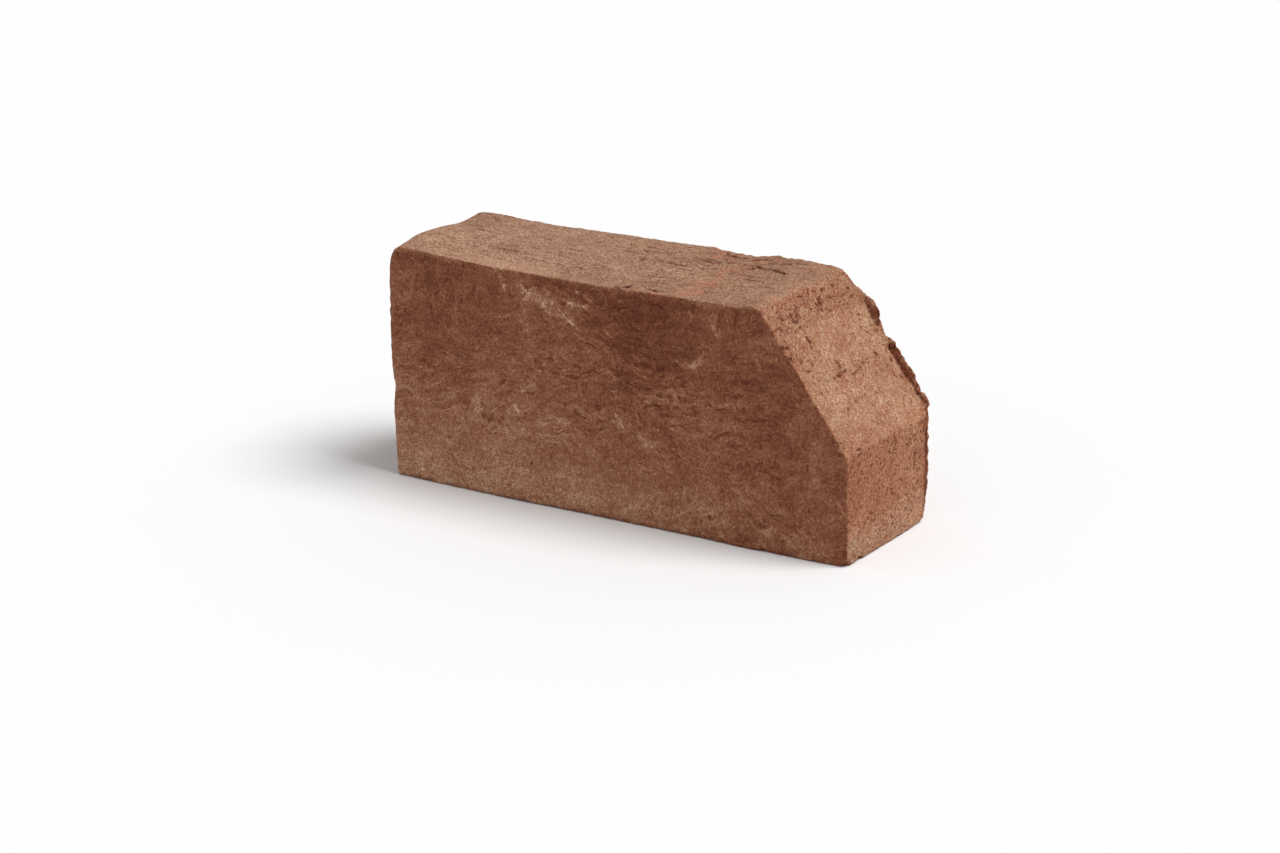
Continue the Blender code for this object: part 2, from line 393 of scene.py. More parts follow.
# ------------------------------------------------------------ hand-made wave
def top_wave(along, deep):
    front = 0.7 * hump(along, 6, 13) - 1.75 * hump(along, 98, 66, 4)
    front = front + 0.25 * np.sin(along / 9.0) * hump(along, 110, 60)
    back = 0.75 * hump(along, 9, 9) + 0.85 * hump(along, 150, 13)
    back = back + 0.3 * hump(along, 108, 12) - 0.75 * hump(along, 127, 8) - 0.4 * hump(along, 42, 15) + 0.35 * hump(along, 166, 6)
    blend = ease(deep, 2, 50)
    middle = -0.35 * np.sin(math.pi * deep / 58) * (0.6 + 0.4 * np.sin(along / 23))
    left_dip = -1.0 * hump(along, 0, 12) * hump(deep, 45, 9) + 0.8 * hump(along, 0, 12) * hump(deep, 20, 14)
    near_left = 0.4 * hump(along, 6, 9) * hump(deep, 12, 12)
    return front * (1 - blend) + back * blend + middle + left_dip + near_left


def cant_wave(down, deep):
    shoulder = 1.0 * hump(down, 7, 8) * ease(deep, 30, 56)
    ledge = -0.35 * hump(down, 4, 6) * ease(58 - deep, 20, 50)
    ripple = 0.22 * np.sin(down / 3.6 + deep / 19) * hump(down, 27, 14)
    return shoulder + ledge + ripple


def end_wave(deep, up):
    return (
        0.5 * np.sin(math.pi * np.minimum(1, up / 86)) - 0.35
        + 0.35 * np.sin(up / 8.5 + deep / 17)
        - 0.5 * hump(up, 37, 4) * hump(deep, 0, 14) + 0.5 * hump(up, 46, 8) - 0.3 * hump(up, 72, 9) + 0.3 * hump(up, 25, 6)
    )


def waved(p):
    """The points moved by the broad unevenness of the hand-made faces."""
    s, t, z = p.T
    inside, down = off_cant(s, z), down_cant(s, z)
    lift = ease(z, 52, 92) * ease(inside, -0.5, 9)
    cut = ease(9 - inside, 0, 8.5) * ease(down, -6, 2) * ease(60 - down, 0, 8)
    out = ease(24 - s, 0, 24) * ease(z, 0, 9)
    nip = 2.4 * hump(s, 0, 5) * hump(z, 92, 6) * ease(20 - t, 0, 20)
    worn = np.clip(1 - z / 22, 0, 1) ** 1.8 * ease(t, 38, 58) * hump(s, 203, 7)
    move = np.zeros_like(p)
    move[:, 2] += lift * top_wave(s, t)
    push = cut * cant_wave(down, t)
    move[:, 0] += push * OUT[0] - out * end_wave(t, z) + 0.75 * nip - 0.5 * worn
    move[:, 1] -= 2.2 * worn
    # The front bed face swells a little towards its lower edge.
    foot = ease(16 - z, 0, 16) * ease(20 - t, 0, 20)
    move[:, 1] -= foot * (0.9 * hump(s, 125, 75, 4) + 0.9 * hump(s, 42, 33, 4) + 0.6 * hump(s, 184, 12) + 0.9 * hump(s, 161, 9) * ease(6 - z, 0, 5))
    move[:, 2] += push * OUT[1] - 0.45 * nip + 0.5 * worn**2 * hump(z, 0, 3)
    return p + move


flat_points, quads, tris = build_net()
flat_normals = facing(flat_points, quads, tris)
print("net", len(flat_points), "points", 2 * len(quads) + len(tris), "triangles")
points = waved(flat_points)
normals = facing(points, quads, tris)

# --------------------------------------------------------- which face is it
S, T, Z = flat_points.T
U = down_cant(S, Z)
TURN = np.degrees(np.arctan2(flat_normals[:, 2], flat_normals[:, 0]))
TURN = np.where(TURN < -135, TURN + 360, TURN)
fin_like = (T > THICK - BACK_ZONE) & (off_cant(S, Z) < 3)
w_front = np.where(T < 20, ease(-flat_normals[:, 1], 0.5, 0.9), 0.0)
w_back = np.where((T > 40), ease(flat_normals[:, 1], 0.5, 0.9), 0.0)
rest = 1 - w_front - w_back
w_base = rest * (1 - ease(TURN, -60, -30))
w_end = rest * ease(TURN, -60, -30) * (1 - ease(TURN, 8, 22))
w_cant = rest * ease(TURN, 8, 22) * (1 - ease(TURN, 48, 66))
w_top = rest * ease(TURN, 48, 66) * (1 - ease(TURN, 115, 150))
w_plain = rest * ease(TURN, 115, 150) * (1 - ease(TURN, 190, 225))
w_base = w_base + rest * ease(TURN, 190, 225)

relief = np.zeros(len(S))
# Painted shade in pits, creases and other hollows, kept for the colour.
hollow_shade = np.zeros(len(S))
P = flat_points


def pit(x, y, weight, at, radii, deep, turn=0.0, dark=1.0):
    """A crater: steep-sided, flat-bottomed, with painted shade noted for its dark floor."""
    global relief, hollow_shade
    near = (np.abs(x - at[0]) < 3 * max(radii)) & (np.abs(y - at[1]) < 3 * max(radii)) & (weight > 0.05)
    if not near.any():
        return
    shape = blob(x[near], y[near], at, radii, turn, 3) * weight[near]
    relief[near] -= deep * shape
    hollow_shade[near] = np.maximum(hollow_shade[near], shape * dark * min(1.0, deep / 0.45))


def crease(x, y, weight, path, width, deep):
    """A fold in the clay that runs along the path, with painted shade noted in it."""
    global relief, hollow_shade
    pts = np.array(path)
    lo, hi = pts.min(0) - 4, pts.max(0) + 4
    near = (x > lo[0]) & (x < hi[0]) & (y > lo[1]) & (y < hi[1]) & (weight > 0.05)
    if not near.any():
        return
    shape = stroke(x[near], y[near], path, width, 2.4) * weight[near]
    lip = stroke(x[near], y[near] + 1.3 * width, path, width) * weight[near]
    relief[near] += 0.28 * deep * lip - deep * shape
    hollow_shade[near] = np.maximum(hollow_shade[near], 1.4 * shape * min(1.0, (deep / 0.9) ** 1.2))


def settled(path):
    """A path drawn on a level plane, moved along the line of sight to the uneven top."""
    moved = []
    for along, deep in path:
        s, t = along, deep
        for _ in range(4):
            h = 0.8 + top_wave(np.array([s]), np.array([t]))[0]
            s, t = along + 1.95 * h, deep - 2.84 * h
        moved.append((s, t))
    return moved


rng = np.random.default_rng(5)

# Ragged coordinates, so that no feature is a clean circle or line.
warp_s = 0.8 * noise(P, 3.2, 61) + 0.35 * noise(P, 1.3, 62)
warp_t = 0.8 * noise(P, 3.2, 63) + 0.35 * noise(P, 1.3, 64)
warp_z = 0.8 * noise(P, 3.2, 65) + 0.35 * noise(P, 1.3, 66)
S1, T1, Z1 = S + warp_s, T + warp_t, Z + warp_z
U1 = U + warp_z

# ------------------------------------------------------------------ the top
grit = fractal(P, 2.6, 3, 101)
fine = noise(P, 1.15, 104)
rough_top = np.clip(
    0.75 * blob(S, T, (120, 42), (34, 16)) + 0.7 * blob(S, T, (45, 20), (24, 9), -8)
    + 0.55 * blob(S, T, (84, 13), (12, 7)) + 0.5 * blob(S, T, (118, 12), (18, 8))
    + 0.5 * blob(S, T, (16, 43), (10, 6)) + 0.35 * blob(S, T, (150, 25), (14, 20))
    + 0.18 * fractal(P, 16, 2, 110), 0, 1)
relief += w_top * (0.16 * fractal(P * (0.6, 1, 1), 13, 2, 107) + (0.032 + 0.11 * rough_top) * grit
                   + (0.03 + 0.05 * rough_top) * fine)
# A web of creases on the rough parts of the top, with painted shade in them.
web = ease(ridged(P * (0.42, 1.0, 1.0), 5.5, 2, 120), 0.72, 0.98)
relief -= w_top * rough_top * 0.36 * web
hollow_shade = np.maximum(hollow_shade, w_top * rough_top * web * 0.4)
top_creases = [
    ([(103, 34.6), (107, 34.2), (110, 33.6), (113.5, 34.2)], 0.65, 0.7),
    ([(96, 39.0), (99, 37.2), (102, 36.6)], 0.5, 0.4),
    ([(94, 36), (97, 34.4), (101, 33.0)], 0.5, 0.4),
    ([(117.5, 43.6), (120, 43.0), (123, 42.4)], 0.6, 0.55),
    ([(89, 43.4), (91, 43.2), (93.5, 42.6)], 0.55, 0.5),
    ([(85, 41.5), (88, 40.4)], 0.45, 0.4),
    ([(10, 44.6), (13, 43.6)], 0.6, 0.45), ([(14.5, 40.4), (17, 38.6)], 0.5, 0.45),
    ([(18, 44.4), (21, 43.2), (24, 42.0)], 0.5, 0.4),
    ([(38, 47), (41, 46)], 0.45, 0.35), ([(43.5, 41), (47, 40), (49, 39.6)], 0.45, 0.35),
    ([(51, 46.6), (53, 45.6)], 0.5, 0.4), ([(63.5, 32.4), (66, 33.0), (68.5, 33.8)], 0.5, 0.4),
    ([(24.5, 19.8), (27, 19.4), (29, 18.2)], 0.5, 0.5),
    ([(32, 15.6), (36, 15.2), (40, 16.4), (44, 16.8)], 0.6, 0.5),
    ([(35.8, 21.6), (38.6, 21.2)], 0.6, 0.5), ([(44, 22.4), (47, 21.8), (50, 20.6)], 0.5, 0.4),
    ([(39.5, 26.8), (42.6, 26.0)], 0.45, 0.4), ([(48, 27.6), (51, 26.8)], 0.5, 0.4),
    ([(56, 21), (58.5, 19.6)], 0.45, 0.35), ([(62.5, 24.4), (66, 22.8)], 0.5, 0.4),
    ([(66, 18.4), (68, 15.8), (70.6, 12.6)], 0.45, 0.4),
    ([(77.5, 12.4), (79.5, 11.8), (82, 12.0)], 0.5, 0.45), ([(76, 17.2), (80, 16.6)], 0.4, 0.3),
    ([(87, 18), (90, 17)], 0.45, 0.35), ([(109, 17.2), (111.5, 17.0)], 0.45, 0.4),
    ([(110, 20.4), (113, 19.8)], 0.4, 0.35), ([(118, 18.2), (120.5, 17.6)], 0.45, 0.4),
    ([(126, 11.4), (128.4, 10.2)], 0.55, 0.5), ([(136.5, 22.6), (139.5, 18), (141, 15)], 0.45, 0.35),
    ([(10, 55.5), (13, 53.5), (16, 51)], 0.6, 0.45),
]
top_creases.append(([(117, 56.2), (120, 55.6), (123, 55.0)], 0.6, 0.6))
for path, width, deep in top_creases:
    crease(S1, T1, w_top, settled(path), width, deep)
# Long gouges near the back, their insides coloured dark as painted shade.
gouge_shade = np.zeros(len(S))
for path, width, deep, dark in (
    ([(138.1, 44.4), (141.3, 42.2), (144.0, 41.5), (148.9, 41.0), (150.9, 40.2), (153.4, 39.6)], 0.85, 1.0, 0.85),
    ([(131.8, 45.0), (134.8, 44.6), (137.4, 43.9)], 0.7, 0.7, 0.65), ([(117.0, 40.6), (121.8, 41.7), (123.5, 42.7)], 0.65, 0.6, 0.4),
    ([(124.6, 46.4), (126.8, 46.9)], 0.75, 0.6, 0.4), ([(120.4, 52.3), (124.0, 52.7), (127.3, 53.6)], 0.9, 0.8, 0.65),
    ([(132.2, 51.6), (134.6, 51.8)], 0.95, 0.8, 0.65), ([(135.8, 52.7), (139.2, 52.0)], 0.85, 0.9, 0.85),
    ([(141.6, 48.7), (145.5, 48.8), (149.0, 49.5)], 0.75, 0.7, 0.55), ([(151.2, 51.7), (154.0, 52.9)], 0.85, 0.8, 0.65),
    ([(140.6, 28.6), (145.6, 28.4), (149.2, 28.3)], 0.6, 0.4, 0.0), ([(137.2, 40.3), (139.4, 40.7)], 0.7, 0.5, 0.2),
    ([(131.8, 36.3), (135.6, 34.7)], 0.7, 0.5, 0.3),
):
    crease(S + 0.4 * warp_s, T + 0.4 * warp_t, w_top, path, width, deep)
    gouge_shade = np.maximum(gouge_shade, dark * w_top * stroke(S + 0.4 * warp_s, T + 0.4 * warp_t, path, width, 3))
# Two flakes lifted from the front arris, with a groove behind each, darkened with painted shade.
for path, width, deep in (
    ([(104.6, 1.3), (106.2, 1.7), (107.8, 2.1)], 0.85, 1.1), ([(108.2, 2.8), (108.1, 4.2), (107.9, 5.4)], 0.9, 1.1),
    ([(115.7, 4.7), (117.4, 4.5)], 0.65, 0.7), ([(118.4, 4.3), (120.0, 3.6), (121.8, 2.6)], 0.8, 1.0),
):
    where = np.clip(w_top + w_front, 0, 1) * (T < 8) * ease(Z, 88.5, 90.5)
    crease(S + 0.35 * warp_s, T + 0.35 * warp_t, where, path, width, deep)
    gouge_shade = np.maximum(gouge_shade, where * stroke(S + 0.35 * warp_s, T + 0.35 * warp_t, path, width, 3))
for k in range(190):
    at = (rng.uniform(4, 165), rng.uniform(2, 56))
    here = blob(np.array([at[0]]), np.array([at[1]]), (118, 42), (38, 18))[0]
    here += 0.8 * blob(np.array([at[0]]), np.array([at[1]]), (45, 20), (26, 12))[0]
    size, deep = rng.uniform(0.35, 0.75), rng.uniform(0.15, 0.4)
    turn = rng.uniform(-40, 40)
    if rng.random() < 0.25 + here:
        pit(S1, T1, w_top, at, (size * rng.uniform(1, 2.6), size), deep, turn)

# ------------------------------------------------------------------ the cut
rough_cant = np.clip(
    0.9 * (1 - ease(U, 11, 20)) + 0.75 * blob(T, U, (6, 21), (8, 9)) + 0.3 * blob(T, U, (24, 34), (12, 7))
    + 0.25 * blob(T, U, (50, 26), (9, 12)) + 0.25 * fractal(P, 9, 2, 140), 0, 1)
drag = fractal(P * (1, 0.45, 1), 2.1, 3, 145)
relief += w_cant * (0.12 * fractal(P, 8, 2, 141) + (0.045 + 0.15 * rough_cant) * drag
                    + (0.04 + 0.05 * rough_cant) * noise(P, 1.05, 146))
# Where the wire dragged on its way across: faint steps along the brick's thickness, with painted shade in their
# grooves.
for level, start, stop, high in ((25.0, 14, 44, 0.16), (34.6, 8, 57, 0.30), (49.5, 4, 30, 0.10), (17.6, 26, 50, 0.10)):
    span = ease(T, start, start + 8) * (1 - ease(T, stop - 6, stop))
    wavy = U + 0.7 * noise(P, 5, 150) + 0.3 * noise(P, 1.6, 151)
    span = span * ease(noise(P, 6, 152), -0.35, 0.25)
    relief += w_cant * span * high * (0.5 * hump(wavy, level - 1.4, 1.3) - 1.0 * hump(wavy, level, 0.62))
    hollow_shade = np.maximum(hollow_shade, w_cant * span * hump(wavy, level, 0.6) * high * 1.3)
cant_pits = [
    ((39, 4.4), (1.25, 0.7), 0.8, -40), ((34.4, 8.1), (0.8, 0.9), 0.8, 0), ((33.2, 10.8), (0.4, 0.8), 0.5, 0),
    ((35.4, 6.7), (0.9, 0.5), 0.45, -30), ((31.9, 8.0), (0.4, 0.8), 0.5, 0), ((41.4, 8.4), (1.3, 0.4), 0.5, 0),
    ((43.4, 8.5), (0.5, 0.4), 0.5, 0), ((28.0, 8.7), (0.6, 0.4), 0.5, 0), ((28.4, 6.0), (0.5, 0.4), 0.4, 0),
    ((25.4, 3.0), (1.6, 0.4), 0.5, 18), ((20.2, 5.7), (0.5, 0.6), 0.4, 0), ((19.4, 9.8), (0.9, 0.5), 0.4, 0),
    ((15.0, 8.2), (0.7, 1.1), 0.5, 0), ((14.0, 10.4), (0.9, 0.6), 0.5, 0), ((11.0, 11.9), (1.1, 0.4), 0.4, 10),
    ((2.2, 10.4), (1.1, 0.5), 0.5, -15), ((4.8, 10.6), (0.5, 0.4), 0.4, 0), ((8.2, 12.9), (0.7, 0.5), 0.4, 0),
    ((12.6, 8.0), (0.6, 0.5), 0.4, 0), ((19.9, 14.1), (0.5, 0.5), 0.4, 0), ((53.0, 8.0), (0.9, 0.5), 0.45, 20),
    ((48.0, 11.2), (0.9, 0.5), 0.4, 30), ((52.6, 11.4), (1.3, 0.6), 0.4, 0), ((50.4, 3.3), (0.7, 0.4), 0.4, 0),
    ((45.2, 4.3), (0.6, 0.4), 0.4, 0), ((32.6, 15.1), (0.6, 0.4), 0.35, 0), ((46.8, 17.2), (0.5, 0.4), 0.4, 0),
    ((51.5, 18.4), (1.2, 0.4), 0.4, 20), ((16.8, 19.0), (0.8, 0.9), 0.75, 0), ((15.4, 21.2), (0.5, 0.8), 0.55, 0),
    ((22.2, 20.8), (0.6, 0.4), 0.4, 0), ((3.2, 18.0), (1.6, 0.8), 0.5, 0), ((1.0, 17.2), (0.8, 1.0), 0.7, 0),
    ((0.8, 21.8), (0.9, 1.5), 0.7, 0), ((5.0, 25.0), (0.8, 0.5), 0.5, 0), ((9.0, 25.4), (0.9, 0.5), 0.4, 0),
    ((6.2, 28.3), (0.6, 0.5), 0.5, 0), ((10.6, 27.2), (0.6, 1.0), 0.5, -20), ((18.7, 26.2), (0.8, 0.4), 0.35, 0),
    ((48.5, 23.0), (0.4, 0.7), 0.45, 0), ((51.2, 25.7), (0.6, 0.4), 0.5, 0), ((42.6, 24.4), (0.4, 0.5), 0.3, 0),
    ((22.5, 35.0), (1.05, 0.75), 0.95, 0), ((26.9, 34.2), (0.9, 0.8), 0.6, 20), ((24.6, 32.2), (0.5, 1.3), 0.6, 18),
    ((24.2, 29.6), (0.9, 0.5), 0.45, 0), ((24.8, 38.0), (0.4, 0.9), 0.35, 20), ((30.8, 31.9), (0.5, 0.4), 0.35, 0),
    ((39.4, 34.4), (0.7, 0.9), 0.6, -30), ((41.6, 35.6), (1.0, 0.35), 0.4, 0), ((42.4, 33.9), (0.9, 0.4), 0.4, 0),
    ((48.8, 33.8), (0.8, 1.0), 0.75, 0), ((57.4, 34.6), (1.0, 0.8), 0.9, 0), ((35.8, 36.0), (0.7, 0.35), 0.35, 0),
    ((31.4, 36.6), (0.7, 0.4), 0.3, 0), ((18.6, 35.2), (0.8, 0.35), 0.35, 0), ((42.4, 40.4), (0.5, 0.5), 0.5, 0),
    ((52.0, 43.7), (0.5, 0.6), 0.55, 0), ((52.2, 45.2), (0.3, 0.5), 0.4, 0), ((55.4, 46.0), (0.7, 0.9), 0.5, 0),
    ((55.2, 38.7), (1.1, 0.6), 0.45, 0), ((55.8, 26.4), (0.8, 0.6), 0.4, 0), ((57.0, 24.2), (0.8, 1.4), 0.6, 0),
    ((22.4, 45.9), (0.8, 0.5), 0.45, 0), ((18.6, 45.6), (0.6, 0.4), 0.4, 0), ((16.2, 47.2), (0.7, 0.5), 0.45, 20),
    ((32.4, 44.2), (0.5, 0.3), 0.4, 0), ((27.0, 43.6), (0.5, 0.5), 0.3, 0), ((39.6, 51.5), (0.7, 0.5), 0.35, 0),
    ((53.0, 55.6), (0.5, 0.5), 0.5, 0), ((39.8, 45.2), (0.5, 0.3), 0.3, 0), ((1.0, 58.5), (0.8, 0.6), 0.4, 0),
    ((9.0, 61.6), (1.6, 0.6), 0.5, 0), ((2.0, 56.6), (1.4, 0.8), 0.35, 30),
]
torn_t, torn_u = T + 0.6 * warp_t + 0.30 * noise(P, 1.2, 347), U + 0.6 * warp_z + 0.30 * noise(P, 1.2, 348)
for at, radii, deep, turn in cant_pits:
    pit(torn_t, torn_u, w_cant, at, (0.92 * radii[0], 0.92 * radii[1]), deep * 0.9, turn, 1.3)
for path, width, deep in (
    ([(24.4, 29.2), (24.8, 31.6), (24.0, 33.6), (22.4, 34.9)], 0.5, 0.55), ([(24.0, 33.8), (27.2, 34.3)], 0.45, 0.5),
    ([(29.6, 36.6), (32.4, 36.5), (35.8, 36.1), (38.4, 35.2), (40.8, 34.2)], 0.45, 0.5),
    ([(16.6, 17.2), (16.2, 19.4), (15.2, 22.0)], 0.5, 0.55), ([(13.4, 8.0), (14.6, 9.6), (16.2, 11.8)], 0.5, 0.5),
    ([(0.6, 17.0), (2.4, 18.2), (4.2, 18.4)], 0.6, 0.5), ([(34.2, 6.4), (34.6, 8.2), (33.2, 10.8)], 0.5, 0.5),
):
    crease(torn_t, torn_u, w_cant, path, width, deep)
crease(T1, U1, w_cant, [(43, 13.2), (44.6, 14.0), (46.6, 13.8)], 0.4, 0.35)
crease(T1, U1, w_cant, [(42.6, 12.0), (44.6, 12.9), (47.4, 12.7)], 0.4, 0.3)
for k in range(230):
    at = (rng.uniform(0.5, 56), rng.uniform(2, 61) ** 1.0)
    if rng.random() > (0.95 if at[1] < 17 else 0.30):
        continue
    size = rng.uniform(0.3, 0.6)
    pit(T1, U1, w_cant, at, (size * rng.uniform(1, 1.8), size), rng.uniform(0.12, 0.34), rng.uniform(-60, 60))

# -------------------------------------------------------------- the cut end
relief += w_end * (0.10 * fractal(P, 9, 2, 160) + 0.045 * fractal(P, 2.0, 3, 161) + 0.05 * noise(P, 0.95, 162))
for path, width, deep in (
    ([(7.3, 31.4), (7.2, 29.0)], 0.35, 0.5), ([(34.0, 39.2), (34.2, 36.8), (33.8, 34.8)], 0.5, 0.45),
    ([(48.2, 31.0), (48.6, 28.4), (48.2, 26.4), (48.0, 24.6)], 0.45, 0.5), ([(29.4, 27), (29.8, 25.2)], 0.4, 0.3),
):
    crease(T + 0.4 * warp_t, Z + 0.4 * warp_z, w_end, path, width, deep)
for at, radii, deep in (
    ((31.7, 20.4), (0.7, 0.6), 0.5), ((42.3, 15.0), (0.5, 0.4), 0.55), ((14.2, 14.4), (0.8, 0.5), 0.4),
    ((16.2, 16.0), (1.0, 0.6), 0.35), ((31.0, 10.0), (0.7, 0.6), 0.45), ((32.2, 7.0), (0.8, 0.7), 0.45),
    ((37.9, 22.5), (0.6, 0.5), 0.4), ((8.6, 40.0), (0.8, 0.5), 0.35), ((52.4, 39.4), (0.7, 0.5), 0.3),
    ((36.4, 36.2), (0.5, 0.6), 0.35), ((23.4, 32.6), (0.5, 0.6), 0.35), ((48.2, 14.8), (0.5, 0.4), 0.35),
    ((42.8, 34.0), (0.9, 0.4), 0.3), ((14.0, 31.6), (0.6, 0.5), 0.3), ((8.0, 11.4), (0.9, 0.4), 0.3),
):
    pit(T + 0.5 * warp_t, Z + 0.5 * warp_z, w_end, at, radii, deep)
for k in range(210):
    at = (rng.uniform(0.5, 57), rng.uniform(1, 42))
    size = rng.uniform(0.28, 0.5)
    pit(T1, Z1, w_end, at, (size * rng.uniform(1, 1.7), size), rng.uniform(0.12, 0.32), rng.uniform(-90, 90))

# ------------------------------------------------------- the front bed face
tear_zone = np.clip(
    0.95 * blob(S, Z, (108, 51), (44, 12), 6) + 0.6 * blob(S, Z, (46, 33), (30, 9), -25)
    + 0.5 * blob(S, Z, (120, 68), (30, 10)) + 0.4 * blob(S, Z, (80, 82), (22, 8)) + 0.12, 0, 1)
flow = np.stack([
    S + 5 * noise(P, 26, 200), T,
    Z + 3.2 * noise(P, 24, 201) + 1.3 * noise(P, 8, 202) + 0.10 * (S - 100)
], -1)
tears = fractal(flow * (0.26, 1, 1), 2.6, 2, 205)
relief += w_front * (0.20 * fractal(P, 22, 2, 210) + 0.07 * fractal(P, 5, 2, 211) + 0.03 * noise(P, 2.0, 212)
                     + tear_zone * 0.11 * tears)
for at, radii, deep in (
    ((144.5, 8.7), (1.0, 0.9), 0.6), ((43.0, 9.6), (0.8, 0.7), 0.45), ((65, 15.2), (0.8, 0.6), 0.4),
    ((53.2, 18.7), (0.7, 0.6), 0.4), ((150, 20), (0.7, 0.6), 0.4), ((47.8, 52.6), (0.6, 0.5), 0.35),
    ((72.6, 3.4), (1.0, 0.7), 0.4), ((92, 3.8), (0.8, 0.6), 0.3),
):
    pit(S1, Z1, w_front, at, radii, deep)

# The faces away from the photograph have the same kinds of unevenness.
away = w_back + w_plain + w_base
relief += away * (0.22 * fractal(P, 16, 3, 220) + 0.08 * fractal(P, 4.5, 2, 221))
for k in range(34):
    size = rng.uniform(0.6, 1.2)
    pit(S1, Z1, w_back, (rng.uniform(4, 190), rng.uniform(3, 88)), (size * rng.uniform(1, 2.2), size),
        rng.uniform(0.2, 0.5), rng.uniform(-40, 40), 0.4)
for k in range(26):
    size = rng.uniform(0.5, 1.0)
    pit(T1, Z1, w_plain, (rng.uniform(2, 56), rng.uniform(3, 88)), (size * rng.uniform(1, 2.0), size),
        rng.uniform(0.2, 0.45), rng.uniform(-60, 60), 0.45)

# Worn and ragged arrises.
near_t = np.minimum(T, THICK - T)
arris = hump(near_t, 0, 1.3)
relief += arris * (0.20 * noise(P, 3.4, 230) + 0.18 * noise(P, 1.5, 231)) * (1 - 0.7 * fin_like)
relief -= arris * 0.45 * ease(noise(P, 2.4, 232), 0.30, 0.70) * (T < 20)
crumbs = w_top * hump(THICK - T, 0, 2.2)
relief += crumbs * (0.55 * ease(noise(P * (0.5, 1, 1), 3.4, 233), 0.0, 0.8) + 0.22 * noise(P, 1.6, 234)) * (0.4 + ease(S, 100, 120))
nibbled = (w_front * ease(2.2 - Z, 0, 2.0) + w_end * ease(1.8 - Z, 0, 1.6) + hump(Z, 0, 1.0) * ((T < 1.5) | (S > 201.5)))
nibbled = np.clip(nibbled, 0, 1) * (0.38 * ease(noise(P, 5.5, 235), -0.1, 0.6) + 0.32 * ease(noise(P, 2.0, 236), 0.0, 0.6))
fin_part = ease(T, THICK - 1.35, THICK - 0.95) * (off_cant(S, Z) < 3) * ease(U, 8, 11)
relief += fin_part * (0.14 * noise(P, 1.8, 240) + 0.08 * noise(P, 0.9, 241))
crumbled = ease(T, THICK - 2.4, THICK - 0.6) * (off_cant(S, Z) < 3) * (
    hump(U, 24.5, 3.2) + 0.8 * hump(U, 33, 2) + 0.8 * ease(U, 46, 49) * (1 - ease(U, 60, 62)))
relief += crumbled * 0.40 * noise(P, 1.5, 242)
# Painted shade between the crumbs on the fin.
hollow_shade = np.maximum(hollow_shade, crumbled * 0.8 * ease(-noise(P, 1.5, 242), 0.0, 0.5))

points = points + normals * relief[:, None]
points[:, 2] += nibbled * ease(2.5 - points[:, 2], 0, 2.5)

# Chips knocked out of the arrises, with painted shade noted inside them.
for centre, radii in (
    ((203.2, 8.6, -0.4), (2.6, 3.0, 2.2)), ((-1.6, -0.6, 38.5), (2.0, 2.4, 4.6)),
    ((166.5, -1.4, -0.5), (3.0, 2.0, 1.3)), ((168.0, -0.8, 89.5), (2.0, 1.2, 1.6)),
    ((203.6, -0.6, -0.4), (3.6, 3.4, 3.0)), ((140.0, -0.8, -0.3), (3.0, 1.6, 0.9)),
    ((96.0, -0.8, -0.3), (4.5, 1.6, 0.8)), ((62.0, -0.6, 0.0), (3.0, 1.5, 0.8)),
    ((189.0, -0.7, -0.4), (3.2, 1.6, 1.0)), ((176.5, -0.8, 77.8), (1.8, 1.3, 1.8)),
):
    c, r = np.array(centre), np.array(radii)
    p, d = (points - c) / r, -normals / r
    inside_it = (p * p).sum(1) < 1
    a, b, k = (d * d).sum(1), (p * d).sum(1), (p * p).sum(1) - 1
    far = (-b + np.sqrt(np.maximum(b * b - a * k, 0))) / a
    far = np.where(inside_it, np.clip(far, 0, 2.2), 0)
    points = points - normals * far[:, None]
    hollow_shade = np.maximum(hollow_shade, np.where(inside_it, 0.3, 0))

low = points[:, 2] < 0
points[low, 2] *= 0.1

# ------------------------------------------------------------------ colours
# Each is the colour of the clay under plain white light, in linear values.
def clay(red, green, blue):
    return np.array([red, green, blue])


def toned(base, amount, red=0.36, green=0.59, blue=0.69):
    """base made darker and redder, or paler and duller, by amount."""
    return base * np.exp(np.outer(amount, (red, green, blue)))


FRONT = clay(0.262, 0.0975, 0.0486)
TOP = clay(0.349, 0.1930, 0.1210)
CANT = clay(0.360, 0.1790, 0.1025)
END = clay(0.340, 0.1465, 0.0760)

